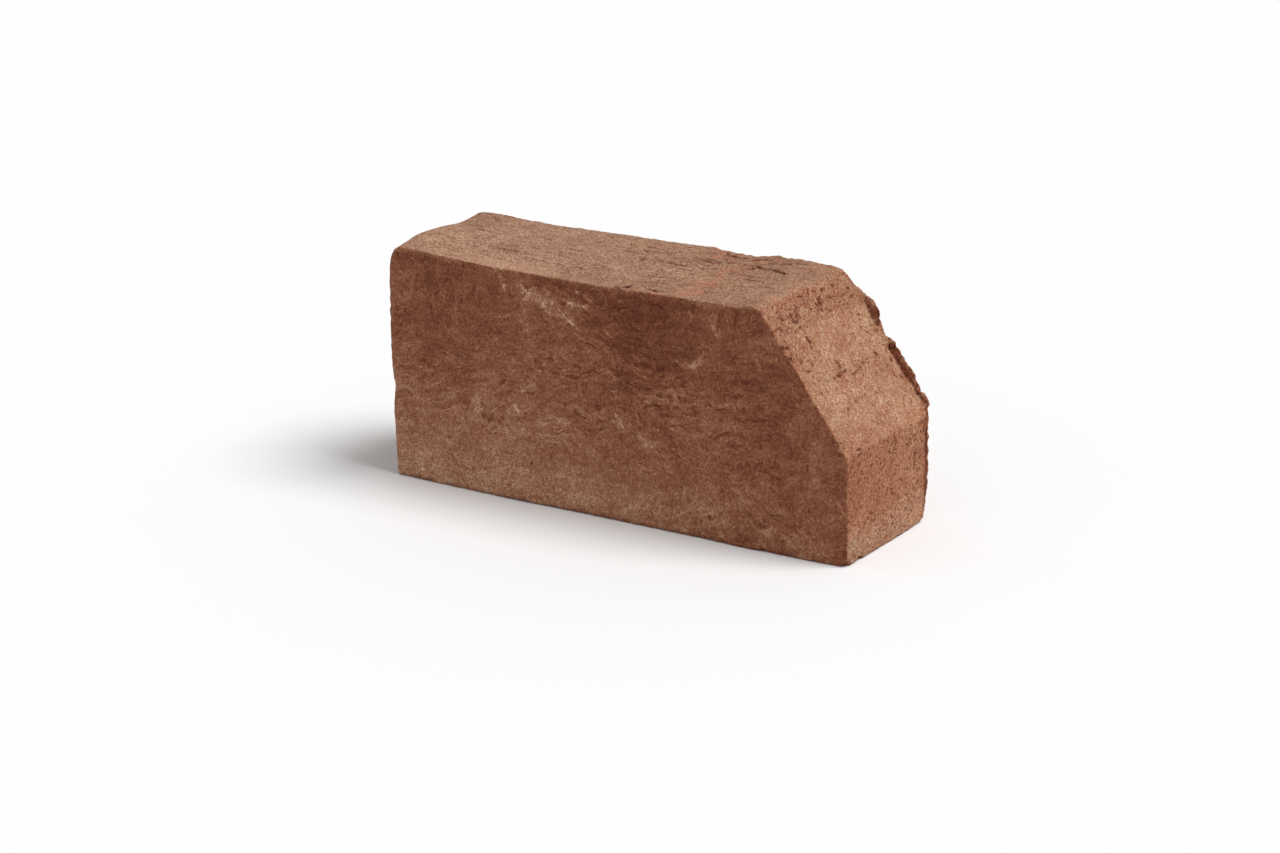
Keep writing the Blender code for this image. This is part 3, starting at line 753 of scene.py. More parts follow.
front_tone = (
    0.62 - 0.0125 * Z + (0.42 - 0.0047 * S) * ease(Z, 100, 30)
    - 0.50 * blob(S, Z, (24, 68), (22, 15)) - 0.55 * blob(S, Z, (122, 73), (27, 16)) - 0.18 * blob(S, Z, (168, 38), (12, 16))
    + 0.42 * blob(S, Z, (76, 82), (20, 8)) + 0.25 * blob(S, Z, (76, 62), (18, 9)) + 0.45 * blob(S, Z, (152, 82), (13, 9))
    + 0.25 * blob(S, Z, (145, 46), (16, 9)) + 0.38 * blob(S, Z, (187, 46), (6, 20), 8) + 0.25 * blob(S, Z, (60, 30), (24, 8), 20)
    - 0.75 * blob(S, Z, (201, 3), (6, 8)) - 0.6 * blob(S, Z, (163, 1), (7, 4)) - 0.3 * blob(S, Z, (110, 33), (36, 6), -12)
    - 0.58 * blob(S, Z, (114, 86), (25, 10)) - 0.32 * blob(S, Z, (112, 62), (32, 12)) - 0.42 * blob(S, Z, (26, 49), (20, 13))
    + 0.48 * ease(20 - Z, 0, 16) * ease(162 - S, 0, 22) + 0.15 * blob(S, Z, (84, 8), (20, 9)) + 0.28 * blob(S, Z, (147, 26), (9, 9))
    - 0.28 * blob(S, Z, (170, 46), (9, 8)) - 0.14 * blob(S, Z, (36, 84), (10, 8)) - 0.26 * blob(S, Z, (88, 87), (10, 4))
    + 0.28 * blob(S, Z, (7, 78), (9, 15)) - 0.25 * blob(S, Z, (80, 88), (14, 5)) + 0.17 * blob(S, Z, (147, 66), (12, 9))
    + 0.15 * blob(S, Z, (50, 66), (12, 10)) + 0.07 * blob(S, Z, (25, 8), (25, 10)) + 0.10 * blob(S, Z, (168, 68), (8, 8))
    # Painted highlight: a paler band along the rounded front-top arris, with a slightly darker band just under it.
    + 0.55 * ease(Z, 89.6, 91.2) * (T < 1) - 0.15 * hump(Z, 88.2, 1.6)
    + 0.30 * fractal(P, 17, 2, 300) + 0.32 * fractal(flow * (0.4, 1, 1), 8, 3, 301) + 0.30 * tears * (0.4 + tear_zone)
)
top_tone = (
    0.22 * ease(60 - S, -20, 60) * ease(34 - T, -10, 24) - 0.20 * ease(S, 90, 150) * ease(T, 20, 50)
    - 0.15 * blob(S, T, (8, 52), (16, 8)) + 0.26 * fractal(P, 9, 3, 310) - 0.10 * rough_top
    + 0.30 * blob(S, T, (50, 6), (18, 9)) + 0.20 * blob(S, T, (61, 17), (14, 14)) - 0.3 * blob(S, T, (9, 7), (12, 8)) - 0.12 * blob(S, T, (12, 50), (14, 8))
    - 0.13 * blob(S, T, (60, 36), (13, 9)) - 0.14 * blob(S, T, (108, 6), (13, 8)) - 0.12 * blob(S, T, (158, 6), (12, 8)) - 0.14 * ease(S, 75, 90) * (1 - ease(T, 6, 16)) - 0.22 * blob(S, T, (131, 53), (12, 6))
)
cant_tone = (
    -0.26 * (1 - ease(U, 12, 21)) + 0.10 * hump(U, 42, 14) + 0.24 * fractal(P * (1, 0.6, 1), 7, 3, 320)
    - 0.20 * blob(T, U, (2, 20), (6, 6)) - 0.08 * ease(U, 52, 62) + 0.12 * ease(T, 26, 44) - 0.10 * (1 - ease(T, 4, 14)) + 0.14 * hump(U, 16, 4)
    + 0.24 * blob(T, U, (8, 6), (8, 6)) - 0.2 * blob(T, U, (50, 40), (8, 8)) - 0.12 * blob(T, U, (46, 5), (12, 6))
    - 0.14 * blob(T, U, (5, 46), (6, 8)) - 0.24 * blob(T, U, (43, 37), (12, 6)) - 0.15 * blob(T, U, (5, 26), (6, 6))
)
end_tone = (
    -0.12 + 0.32 * ease(16 - Z, -6, 12) + 0.10 * ease(T, 24, 56) + 0.22 * fractal(P, 6, 3, 330)
    - 0.10 * ease(Z, 30, 40) - 0.26 * (1 - ease(T, 2, 14)) * ease(Z, 12, 22) + 0.16 * hump(T, 42, 8)
)
# Soft pale drags of slip, under the crisper ones below.
ds, dz = S + 1.0 * noise(P, 4, 381) + 0.5 * noise(P, 1.7, 382), Z + 0.8 * noise(P, 4, 383) + 0.5 * noise(P, 1.7, 384)
for path, width, share in (
    ([(105.5, 38.2), (111, 36.0), (117, 33.4), (121, 31.2)], 1.5, 0.55), ([(118, 31.6), (123, 29.2), (127.5, 26.6)], 1.3, 0.50),
    ([(79.5, 77.6), (83.8, 75.9), (88.4, 74.3)], 1.9, 0.55), ([(130, 66.2), (134, 65.4), (139, 65.6), (143, 67.8)], 1.8, 0.50),
    ([(146.6, 88), (147.4, 84), (149.0, 80.4)], 1.5, 0.50), ([(137.6, 88), (138, 84.6)], 1.1, 0.35), ([(153.6, 88), (155.4, 83)], 1.6, 0.30),
    ([(153, 25.6), (158, 23.4), (163, 21.4)], 3.0, 0.32), ([(57, 41.4), (61, 44.2), (67, 47.0)], 1.6, 0.35),
    ([(54, 40.4), (57, 37.5), (60.6, 34.4)], 1.6, 0.40), ([(70, 33.4), (75, 35.4), (80, 37)], 2.0, 0.35),
    ([(64, 85.4), (70, 83.4), (77, 80.4)], 3.0, 0.40), ([(61.4, 87.4), (63.6, 83.6)], 1.6, 0.35), ([(84, 82.8), (94, 82.8)], 1.4, 0.35),
    ([(90, 58), (94, 59.4)], 1.6, 0.35), ([(97.4, 57.2), (100.6, 58.4), (103, 56.8)], 1.8, 0.40),
    ([(165, 11.6), (172, 9.0), (181, 4.8)], 0.9, 0.45), ([(180, 31.8), (189, 31.2)], 0.8, 0.3), ([(53.6, 88.6), (54.8, 85.0)], 1.1, 0.4),
    ([(63, 62), (70, 60.4), (77, 61)], 2.6, 0.18), ([(113, 50.4), (121, 51.6)], 1.6, 0.2), ([(28, 26), (40, 29), (52, 27.6)], 3.6, 0.2),
):
    front_tone = front_tone + share * stroke(ds, dz, path, width, 2.2)

tint = (
    w_front[:, None] * toned(FRONT, front_tone)
    + w_top[:, None] * toned(TOP, top_tone, 0.5, 0.65, 0.75)
    + w_cant[:, None] * toned(CANT, cant_tone, 0.5, 0.76, 0.86)
    + w_end[:, None] * toned(END, end_tone, 0.4, 0.66, 0.85)
    + w_plain[:, None] * toned(END, 0.35 * fractal(P, 14, 3, 340) - 0.1, 0.5, 0.62, 0.7)
    + w_back[:, None] * toned(FRONT, 0.45 * fractal(P, 24, 3, 341) + 0.5 * fractal(flow * (0.4, 1, 1), 9, 3, 343) + 0.45 - 0.006 * Z)
    + w_base[:, None] * toned(FRONT, 0.6 * fractal(P, 20, 4, 342) + 0.1)
)

# The cut end paler and greyer towards the bottom.
paler_low_end = w_end * ease(15 - Z, -3, 8) * (0.7 + 0.6 * ease(fractal(P, 3.2, 2, 344), -0.4, 0.4))
tint = tint * np.exp(np.outer(paler_low_end, (0.015, 0.10, 0.165)) + np.outer(paler_low_end * (1 - T / 45), (-0.06, 0.03, 0.075)))

# Pale film: smears of slip dragged over the front bed face, and a calm even
# layer of it low on the left.
calm = ease(36 - Z + 5 * noise(P, 20, 400), 0, 22) * ease(168 - S + 8 * noise(P, 26, 399), 0, 50) * w_front
pale = 0.22 * calm
smears = [
    ([(62.5, 86.6), (65.6, 84.5), (64.5, 81.0)], 0.9, 1.0), ([(68.9, 87.4), (65.8, 84.6)], 0.8, 0.95),
    ([(66, 85), (69, 83.6), (72, 82.0)], 1.3, 0.7), ([(74.3, 86.8), (75.6, 84.6), (77.8, 82.4)], 1.0, 0.9),
    ([(70.5, 79.8), (73, 78.6), (76, 77.8)], 1.6, 0.45), ([(62, 83), (60, 80), (60.6, 77)], 0.8, 0.4),
    ([(87.9, 87.8), (91.4, 86.6), (94.9, 85.3)], 0.7, 0.95), ([(83.2, 82.8), (88.6, 82.8), (94, 82.9)], 1.0, 0.75),
    ([(107.0, 87.1), (109.3, 88.1)], 0.55, 0.8),
    ([(53.6, 89), (54.4, 86.5), (55.4, 84.4)], 0.9, 0.7), ([(50, 88), (50.6, 85)], 0.7, 0.45),
    ([(79.5, 77.6), (83.8, 75.9), (88.4, 74.3)], 1.7, 0.62), ([(90, 74), (96, 73.4), (103, 72.8)], 0.75, 0.5),
    ([(100.5, 65.6), (104, 63.6), (107, 61.6)], 0.7, 0.8), ([(99.5, 75.4), (102, 73.6), (104, 71.6)], 0.7, 0.9),
    ([(104, 82.6), (107, 83.8)], 0.6, 0.6), ([(117, 81.2), (121, 80.6), (124, 80.9)], 0.6, 0.8),
    ([(124, 80.9), (129, 80.9), (132, 80)], 0.6, 0.55),
    ([(130, 66.4), (134, 65.4), (138, 65.4), (142, 67.6)], 1.5, 0.85), ([(133, 66.8), (138, 67.8)], 1.2, 0.5),
    ([(137.4, 88), (138, 84)], 0.8, 0.85), ([(132.6, 87), (132.9, 84)], 0.6, 0.55), ([(147.4, 88), (147.8, 83), (149.4, 79.6)], 1.1, 0.6),
    ([(150, 82.4), (150.6, 79.4)], 0.9, 0.7), ([(154, 87.4), (155, 82.4)], 1.2, 0.5),
    ([(159, 84), (162, 81), (168, 78.6)], 2.2, 0.5), ([(97.4, 57.2), (100.4, 58.6), (103, 56.4)], 1.5, 0.6),
    ([(90, 58), (93.6, 59.6)], 1.2, 0.6), ([(58, 41.4), (62, 44.6), (67, 47.4)], 1.3, 0.65),
    ([(48.6, 36.6), (51.4, 40.6)], 1.2, 0.5), ([(54, 41), (57, 37.5), (60, 34.4)], 1.3, 0.55),
    ([(67, 31.4), (73, 34), (80, 37)], 2.0, 0.6), ([(104, 38.6), (111, 35.8), (117, 32.0), (127, 26.8)], 1.4, 0.45),
    ([(112, 35.0), (118, 32.2), (123, 30.0)], 1.2, 0.45), ([(153.4, 25.6), (158, 22.6), (163, 20.8)], 2.6, 0.5),
    ([(160, 13), (167, 11), (174, 8.2), (182, 4.4)], 0.8, 0.7), ([(183.4, 60), (186, 52), (190, 42), (190, 31)], 3.0, 0.38),
    ([(160, 70), (166, 66)], 1.4, 0.35), ([(180, 31.6), (189, 31.0)], 0.6, 0.5), ([(181, 27), (192, 26)], 0.6, 0.35),
    ([(190, 20), (192, 32)], 0.6, 0.45), ([(194.6, 21), (196.4, 31)], 0.6, 0.4), ([(20, 30), (24, 36), (30, 38)], 2.4, 0.35),
    ([(42, 40), (45, 37)], 1.2, 0.4), ([(36, 26), (44, 28), (52, 27)], 3.2, 0.35), ([(76, 84), (80, 79)], 1.2, 0.5),
    ([(150, 72), (156, 74)], 1.0, 0.4), ([(112, 60), (118, 58.6)], 1.0, 0.4), ([(134, 50), (140, 51)], 1.4, 0.35),
    ([(6, 20), (14, 12), (26, 8)], 5.0, 0.22), ([(4, 70), (8, 73), (10, 76)], 1.2, 0.4),
]
fs, fz = S + 1.2 * noise(P, 5, 401) + 0.6 * noise(P, 2.4, 402), Z + 1.2 * noise(P, 5, 403) + 0.6 * noise(P, 2.4, 404)
for path, width, share in smears:
    bold = 0.98 if path[0][1] > 74 and path[0][0] < 158 else 0.74
    pale = np.maximum(pale, w_front * share * bold * stroke(fs, fz, path, (1.0 if bold > 0.7 else 1.35) * width, 2))
pale = np.maximum(pale, 0.62 * w_front * blob(fs, fz, (69.6, 82.8), (7.8, 4.2), -22, 4))
pale = np.maximum(pale, 0.5 * w_front * np.maximum(blob(fs, fz, (135.5, 65.8), (5.5, 2.0), 0, 3), blob(fs, fz, (100, 57.4), (3.2, 2.0), 0, 3)))
pale += w_front * 0.25 * ease(tears + 0.4 * fractal(P, 12, 2, 405), 0.15, 0.8) * tear_zone
pale += w_back * 0.6 * ease(fractal(flow * (0.3, 1, 1), 8, 3, 406), 0.15, 0.6)

# Iron-red and orange where the clay is freshly broken or sand-struck.
rust = (
    w_top * (1.0 * hump(S + 2.2 * noise(P, 6, 410), 133.0, 5.6) * ease(T, 0, 5) * (1 - 0.8 * ease(T, 36, 50)) * ease(noise(P, 3.2, 413), -0.55, 0.2)
             + 0.45 * ease(S, 60, 100) * ease(noise(P, 4, 414), 0.15, 0.6) * (0.4 + ease(T, 34, 50))
             + 0.45 * ease(S, 154, 166) * ease(noise(P, 9, 411), -0.4, 0.5)
             + 0.35 * blob(S, T, (121, 54), (11, 5)) + 0.3 * blob(S, T, (76, 51), (8, 2.5))
             + 0.3 * blob(S, T, (35, 14.5), (1.6, 1.4)) + 0.30 * blob(S, T, (54, 4), (24, 4)))
    + w_cant * (0.16 * blob(T, U, (30, 3), (30, 4)) + 0.25 * hump(T, 0, 1.6) + 0.15 * ease(U, 55, 62))
    + w_end * (0.20 * hump(T, 0, 1.8) + 0.25 * blob(T, Z, (14, 22), (14, 16)))
    + w_front * (0.3 * blob(S, Z, (4, 68), (4, 5)) + 0.12 * hump(S, 200, 5)
                 )
    + (0.8 * blob(S, Z, (105.7, 89.8), (1.2, 1.4)) + 0.8 * blob(S, Z, (110.9, 91.2), (1.1, 1.2))
       + 0.8 * blob(S, Z, (121.8, 91.4), (2.6, 1.2))) * (T < 2)
    + fin_part * 0.4
)
rust = rust * (1 - ease(hollow_shade, 0.25, 0.6))
rust = np.clip(rust + 0.15 * arris * ease(noise(P, 3, 412), 0.1, 0.6) * (1 - w_base), 0, 1)

over = -off_cant(S, Z)
lip = fin_part * ease(over / np.maximum(fin_height(U), 0.5), 0.48, 0.72) * (1 - ease(U, 18.5, 20.5))
# Painted shade: the fin's upright front wall, the gouges and flakes on the top and a band along the front's bottom edge
# take dark clay colour, as if in shade.
wall_shade = fin_part * ease(-normals[:, 1], 0.1, 0.45) * broken(U) * (1 - lip)
wall_shade = np.maximum(wall_shade, fin_part * (1 - ease(over, 0.6, 1.2)) * ease(U, 10.5, 12) * (1 - ease(U, 23, 25)))
crumb = fin_part * ease(over / np.maximum(fin_height(U), 0.5), 0.50, 0.80) * ease(noise(P, 2.3, 353), -0.15, 0.25) * ease(U, 31, 35)
wall_shade = wall_shade * (1 - 0.8 * crumb)
wall_shade = wall_shade * (1 - ease(noise(P, 1.7, 352) + 0.35 * ease(U, 46, 50), 0.25, 0.5) * (0.45 + 0.55 * ease(U, 45, 49)))
wall_shade = np.maximum(wall_shade, 0.85 * ease(gouge_shade, 0.25, 0.75))
wall_shade = np.maximum(wall_shade, 0.55 * w_front * ease(2.0 - Z, 0.2, 1.4) * ease(noise(P, 9, 349), -0.6, 0.1))
tint = tint * (1 - lip)[:, None] + lip[:, None] * toned(TOP, -0.1 + 0.3 * fractal(P, 3, 2, 351), 0.5, 0.65, 0.75)
# The painted shade colour on those places.
tint = tint * (1 - wall_shade)[:, None] + wall_shade[:, None] * toned(FRONT, -1.5 + 0.35 * fractal(P, 4, 2, 350))
blush = 1.66 * (w_front + w_back + w_base) + 1.44 * w_top + 1.92 * w_cant + 1.66 * (w_end + w_plain)

# Which way the torn streaks run on the bed faces: along, falling, rising, or upright.
falling = np.clip(blob(S, Z, (84, 76), (26, 12), -25, 4) + blob(S, Z, (118, 33), (34, 12), -28, 4)
                  + blob(S, Z, (172, 10), (20, 9), -20, 4), 0, 1)
rising = np.clip(blob(S, Z, (55, 38), (22, 13), 30, 4) + blob(S, Z, (140, 66), (12, 8)), 0, 1) * (1 - falling)
tall = np.clip(blob(S, Z, (28, 76), (22, 16), 0, 4) + blob(S, Z, (148, 83), (14, 10), 0, 4)
               + blob(S, Z, (186, 44), (10, 30), 0, 4), 0, 1) * (1 - falling) * (1 - rising)
# How strongly thin slits, with their painted shade, show on the top.
dashes_and_shade = w_top * (0.30 + 1.1 * rough_top)
# How strongly thin curved cracks, with their painted shade, show on each face.
curls_and_shade = w_cant * (0.22 + 0.95 * rough_cant) + 0.25 * w_end + 0.5 * w_top * rough_top
grit_high = 0.96 * (w_front + w_back + w_base) + 1.72 * w_top + 0.90 * w_cant + 1.50 * w_end + 1.25 * w_plain
dust_high = 0.75 * (w_front + w_back + w_base) + 1.7 * w_top + 2.35 * w_cant + 2.0 * w_end + 1.5 * w_plain
# How many small holes, with their painted shade, each face has.
dots_and_shade = (w_cant * (0.14 + 0.90 * rough_cant) + w_end * (0.85 + 0.5 * ease(Z, 26, 38)) + w_top * (0.25 + 0.8 * rough_top)
        + 0.6 * w_plain + w_front * (0.10 + 0.25 * ease(22 - Z, 0, 16)) + 0.3 * w_back)
# Painted shade along the thin flash at the back edge of the cut end.
flash_shade = w_end * hump(T, 56.3, 0.9) * ease(Z, 3, 10) * (1 - ease(Z, 40, 42)) * ease(noise(P, 7, 360), -0.7, 0.1)

mesh = bpy.data.meshes.new("fired_brick")
co = (points - (LENGTH / 2, THICK / 2, 0)) / 1000
loops = np.concatenate([quads.reshape(-1), tris.reshape(-1)])
sizes = np.concatenate([np.full(len(quads), 4), np.full(len(tris), 3)])
mesh.vertices.add(len(co))
mesh.vertices.foreach_set("co", co.astype(np.float32).reshape(-1))
mesh.loops.add(len(loops))
mesh.loops.foreach_set("vertex_index", loops.astype(np.int32))
mesh.polygons.add(len(sizes))
mesh.polygons.foreach_set("loop_start", np.concatenate([[0], np.cumsum(sizes)[:-1]]).astype(np.int32))
mesh.update(calc_edges=True)
print("mended", mesh.validate(verbose=True))
mesh.shade_smooth()
sandy = 1 - 0.28 * w_top - 0.20 * w_end
skew = -0.5 * (w_top + w_cant + w_end + w_plain)
for name, values in (("pale", pale), ("sandy", sandy), ("skew", skew), ("falling", falling), ("rising", rising), ("tall", tall), ("dashes_and_shade", dashes_and_shade), ("curls_and_shade", curls_and_shade), ("grit", grit_high), ("dust", dust_high),
                     ("dots_and_shade", dots_and_shade), ("flash_shade", flash_shade), ("rust", rust), ("hollow_shade", hollow_shade), ("bed", w_front * (1 - 0.6 * calm) + w_back + w_base), ("blush", blush),
                     ("torn", tear_zone * w_front + 0.4 * w_back), ("coarse", w_top * 0.5 + w_cant * 0.55 + w_end * 1.0 + w_plain + 0.15 * w_front)):
    layer = mesh.attributes.new(name, "FLOAT", "POINT")
    layer.data.foreach_set("value", np.clip(values, -1, 4).astype(np.float32))
layer = mesh.attributes.new("tint", "FLOAT_COLOR", "POINT")
layer.data.foreach_set("color", np.hstack([tint, np.ones((len(tint), 1))]).astype(np.float32).reshape(-1))
brick = bpy.data.objects.new("fired_brick", mesh)
bpy.context.scene.collection.objects.link(brick)

# ----------------------------------------------------------------- material
clay_look = bpy.data.materials.new("fired_clay")
clay_look.use_nodes = True
nodes, links = clay_look.node_tree.nodes, clay_look.node_tree.links
shader = nodes["Principled BSDF"]
place = nodes.new("ShaderNodeTexCoord").outputs["Object"]


def wire(value, socket):
    if isinstance(value, (int, float)):
        socket.default_value = value
    elif isinstance(value, tuple):
        socket.default_value = value
    else:
        links.new(value, socket)


def turned_place(where, turn, scale=(1.0, 1.0, 1.0)):
    n = nodes.new("ShaderNodeMapping")
    n.inputs["Rotation"].default_value = tuple(math.radians(a) for a in turn)
    n.inputs["Scale"].default_value = scale
    links.new(where, n.inputs["Vector"])
    return n.outputs[0]


askew = turned_place(place, (33, 21, 47))


def grain(size_mm, detail=2.0, rough=0.5, where=None, twist=0.0):
    n = nodes.new("ShaderNodeTexNoise")
    links.new(where or askew, n.inputs["Vector"])
    n.inputs["Scale"].default_value = 1000 / size_mm
    n.inputs["Detail"].default_value = detail
    n.inputs["Roughness"].default_value = rough
    n.inputs["Distortion"].default_value = twist
    return n.outputs["Fac"]


def sums(kind, a, b, c=None, clamp=False):
    n = nodes.new("ShaderNodeMath")
    n.operation = kind
    n.use_clamp = clamp
    wire(a, n.inputs[0])
    wire(b, n.inputs[1])
    if c is not None:
        wire(c, n.inputs[2])
    return n.outputs[0]


def layer_of(name):
    n = nodes.new("ShaderNodeAttribute")
    n.attribute_type = "GEOMETRY"
    n.attribute_name = name
    return n


def step_up(value, low, high, to_low=0.0, to_high=1.0):
    n = nodes.new("ShaderNodeMapRange")
    n.interpolation_type = "SMOOTHSTEP"
    wire(value, n.inputs["Value"])
    n.inputs["From Min"].default_value = low
    n.inputs["From Max"].default_value = high
    n.inputs["To Min"].default_value = to_low
    n.inputs["To Max"].default_value = to_high
    return n.outputs["Result"]


def blended(share, a, b):
    n = nodes.new("ShaderNodeMix")
    n.data_type = "RGBA"
    wire(share, n.inputs["Factor"])
    wire(a, n.inputs["A"])
    wire(b, n.inputs["B"])
    return n.outputs["Result"]


bed = layer_of("bed").outputs["Fac"]
coarse = layer_of("coarse").outputs["Fac"]
tint_col = layer_of("tint").outputs["Color"]

# Places bent by a slow swirl, for the streaks that the clay's flow has left.
swirl = nodes.new("ShaderNodeTexNoise")
links.new(askew, swirl.inputs["Vector"])
swirl.inputs["Scale"].default_value = 1000 / 17
swirl.inputs["Detail"].default_value = 2.0
centred = nodes.new("ShaderNodeVectorMath")
centred.operation = "SUBTRACT"
links.new(swirl.outputs["Color"], centred.inputs[0])
centred.inputs[1].default_value = (0.5, 0.5, 0.5)
bent = nodes.new("ShaderNodeVectorMath")
bent.operation = "MULTIPLY_ADD"
links.new(centred.outputs[0], bent.inputs[0])
bent.inputs[1].default_value = (0.013, 0.013, 0.013)
links.new(place, bent.inputs[2])


def streaks(shares, size_mm, thin=0.27, lift_mm=0.0, detail=5.0, rough=0.60, twist=0.35):
    """Noise drawn out along directions in the bed face, each where its share is."""
    start = nodes.new("ShaderNodeVectorMath")
    start.operation = "ADD"
    links.new(bent.outputs[0], start.inputs[0])
    start.inputs[1].default_value = (0, 0, lift_mm / 1000)
    total = None
    for share, degrees in shares:
        level = turned_place(start.outputs[0], (0, degrees, 0))
        drawn = turned_place(level, (24, 38, 17), (thin, 0.6, 1.0))
        one = sums("SUBTRACT", grain(size_mm, detail, rough, drawn, twist), 0.5)
        total = one if total is None else sums("MULTIPLY_ADD", sums("SUBTRACT", one, total), share, total)
    return total


# Every dark or pale thing changes the clay along its own line: what is darker is
# also redder. Grain in three sizes, torn streaks and film on the bed faces, pits.
speck = sums("MULTIPLY", sums("SUBTRACT", grain(0.9, 2.0, 0.65), 0.5), layer_of("grit").outputs["Fac"])
sand = sums("SUBTRACT", grain(2.1, 2.0, 0.6), 0.5)
mottle = sums("SUBTRACT", grain(7.0, 3.0, 0.6), 0.5)
dust = sums("MULTIPLY", sums("SUBTRACT", grain(0.5, 1.0, 0.5), 0.5), layer_of("dust").outputs["Fac"])
sandy = sums("MULTIPLY", sums("ADD", sand, mottle), layer_of("sandy").outputs["Fac"])
fine_grain = sums("MULTIPLY_ADD", dust, 0.85, sums("MULTIPLY", speck, 1.7))
# Off the bed faces the dark grains stand out more than the pale ones.
fine_grain = sums("MULTIPLY_ADD", sums("MAXIMUM", fine_grain, 0.0), layer_of("skew").outputs["Fac"], fine_grain)
change = sums("MULTIPLY_ADD", sandy, 0.60, fine_grain)
falling, rising, tall = (layer_of(name).outputs["Fac"] for name in ("falling", "rising", "tall"))
ways = ((None, 5), (falling, -27), (rising, 36), (tall, 82))
streak = streaks(ways, 3.0)
torn = layer_of("torn").outputs["Fac"]
# Painted light and shade on the torn clay's wrinkles: lighter on the side that faces up, darker below, as if lit from
# above.
wrinkle_light = sums("SUBTRACT", streak, streaks(ways, 3.0, lift_mm=0.5))
change = sums("MULTIPLY_ADD", sums("MULTIPLY", streak, bed), 0.73, change)
# A thin skin of finer clay, torn off in ragged patches.
skin = grain(6.5, 7.0, 0.62, turned_place(bent.outputs[0], (24, 38, 17), (0.5, 0.6, 1.0)), 0.3)
change = sums("MULTIPLY_ADD", sums("MULTIPLY", step_up(skin, 0.475, 0.530, -0.5, 0.5), bed), 0.15, change)
# Fine folds where the clay tore as it was pressed: a line of painted shadow with a painted highlight on its lip.
folds = streaks(ways, 3.4, 0.28, detail=2.0, rough=0.5, twist=0.5)
some = sums("MULTIPLY", step_up(grain(7.0, 2.0, 0.6), 0.46, 0.56), bed)
edge = sums("MULTIPLY", step_up(folds, -0.092, -0.122), some)
change = sums("MULTIPLY_ADD", edge, sums("MULTIPLY_ADD", torn, -0.30, -0.20), change)
# Short nicks: painted shadow in the colour, and a dip in the bump.
nicks_and_shadow = streaks(ways, 1.7, 0.34, lift_mm=7.0, detail=1.0, rough=0.5, twist=0.5)
nicks_and_shadow = sums("MULTIPLY", step_up(nicks_and_shadow, -0.115, -0.145), bed)
change = sums("MULTIPLY_ADD", nicks_and_shadow, sums("MULTIPLY_ADD", torn, -0.14, -0.22), change)
fold_highlight = sums("MULTIPLY", step_up(sums("ABSOLUTE", sums("ADD", folds, 0.02), 0.0), 0.0, 0.05, 1.0, 0.0), some)
change = sums("MULTIPLY_ADD", fold_highlight, sums("MULTIPLY_ADD", torn, 0.10, 0.05), change)
change = sums("MULTIPLY_ADD", sums("MULTIPLY", wrinkle_light, bed), sums("MULTIPLY_ADD", torn, 1.3, 0.7), change)
# Painted shadow along the torn streaks, and a dip in the bump.
tear_and_shadow = sums("MULTIPLY", step_up(sums("ABSOLUTE", streak, 0.0), 0.003, 0.014, 1.0, 0.0), step_up(mottle, -0.03, 0.04))
tear_and_shadow = sums("MULTIPLY", tear_and_shadow, torn)
change = sums("MULTIPLY_ADD", tear_and_shadow, -0.46, change)
# Painted highlight along thin ridges of the torn streaks.
ridge_highlight = step_up(sums("ABSOLUTE", sums("SUBTRACT", streak, 0.10), 0.0), 0.0, 0.016, 1.0, 0.0)
change = sums("MULTIPLY_ADD", sums("MULTIPLY", ridge_highlight, torn), 0.16, change)
veil = layer_of("pale").outputs["Fac"]
film = sums("MULTIPLY_ADD", streak, 2.6, sums("MULTIPLY_ADD", speck, 0.8, sums("MULTIPLY_ADD", mottle, 0.8, 0.62)))
flake = step_up(sums("MULTIPLY_ADD", veil, 0.13, grain(3.4, 4.0, 0.6, bent.outputs[0], 0.4)), 0.495, 0.575)
film = sums("MULTIPLY", veil, sums("MULTIPLY_ADD", flake, sums("MULTIPLY", veil, 0.95), sums("MULTIPLY", film, 0.75)), clamp=True)
marbled = sums("MULTIPLY_ADD", streak, 0.9, sums("MULTIPLY_ADD", sand, 0.5, veil))
film = sums("MULTIPLY_ADD", step_up(marbled, 0.34, 0.78), 0.5, sums("MULTIPLY", film, 0.6), clamp=True)
change = sums("MULTIPLY_ADD", film, sums("MULTIPLY_ADD", film, 0.30, 0.30), change)
# Painted shade in pits and folds: ragged where their floor is dark, and a soft painted shade round it.
sunk_shade = layer_of("hollow_shade").outputs["Fac"]
pit_floor_and_shade = step_up(sums("MULTIPLY_ADD", sums("SUBTRACT", grain(0.8, 2.0, 0.6), 0.5), 2.4, sunk_shade), 0.40, 0.70)
shade = sums("MULTIPLY_ADD", pit_floor_and_shade, -0.58, sums("MULTIPLY", sunk_shade, -0.24))
# Small holes: a dip in the bump, and painted shade in the colour.
holes_and_shade = sums("MULTIPLY", step_up(grain(1.1, 1.0, 0.5), 0.385, 0.325), layer_of("dots_and_shade").outputs["Fac"])
shade = sums("MULTIPLY_ADD", holes_and_shade, -0.68, shade)
# Thin slits on the top: a dip in the bump, and painted shade in the colour.
slits_and_shade = step_up(grain(1.5, 1.5, 0.5, turned_place(place, (20, 35, 8), (0.15, 1.0, 1.0)), 0.3), 0.405, 0.345)
slits_and_shade = sums("MULTIPLY", slits_and_shade, layer_of("dashes_and_shade").outputs["Fac"])
shade = sums("MULTIPLY_ADD", slits_and_shade, -0.48, shade)
# Painted shade along the flash on the cut end.
shade = sums("MULTIPLY_ADD", layer_of("flash_shade").outputs["Fac"], -0.95, shade)
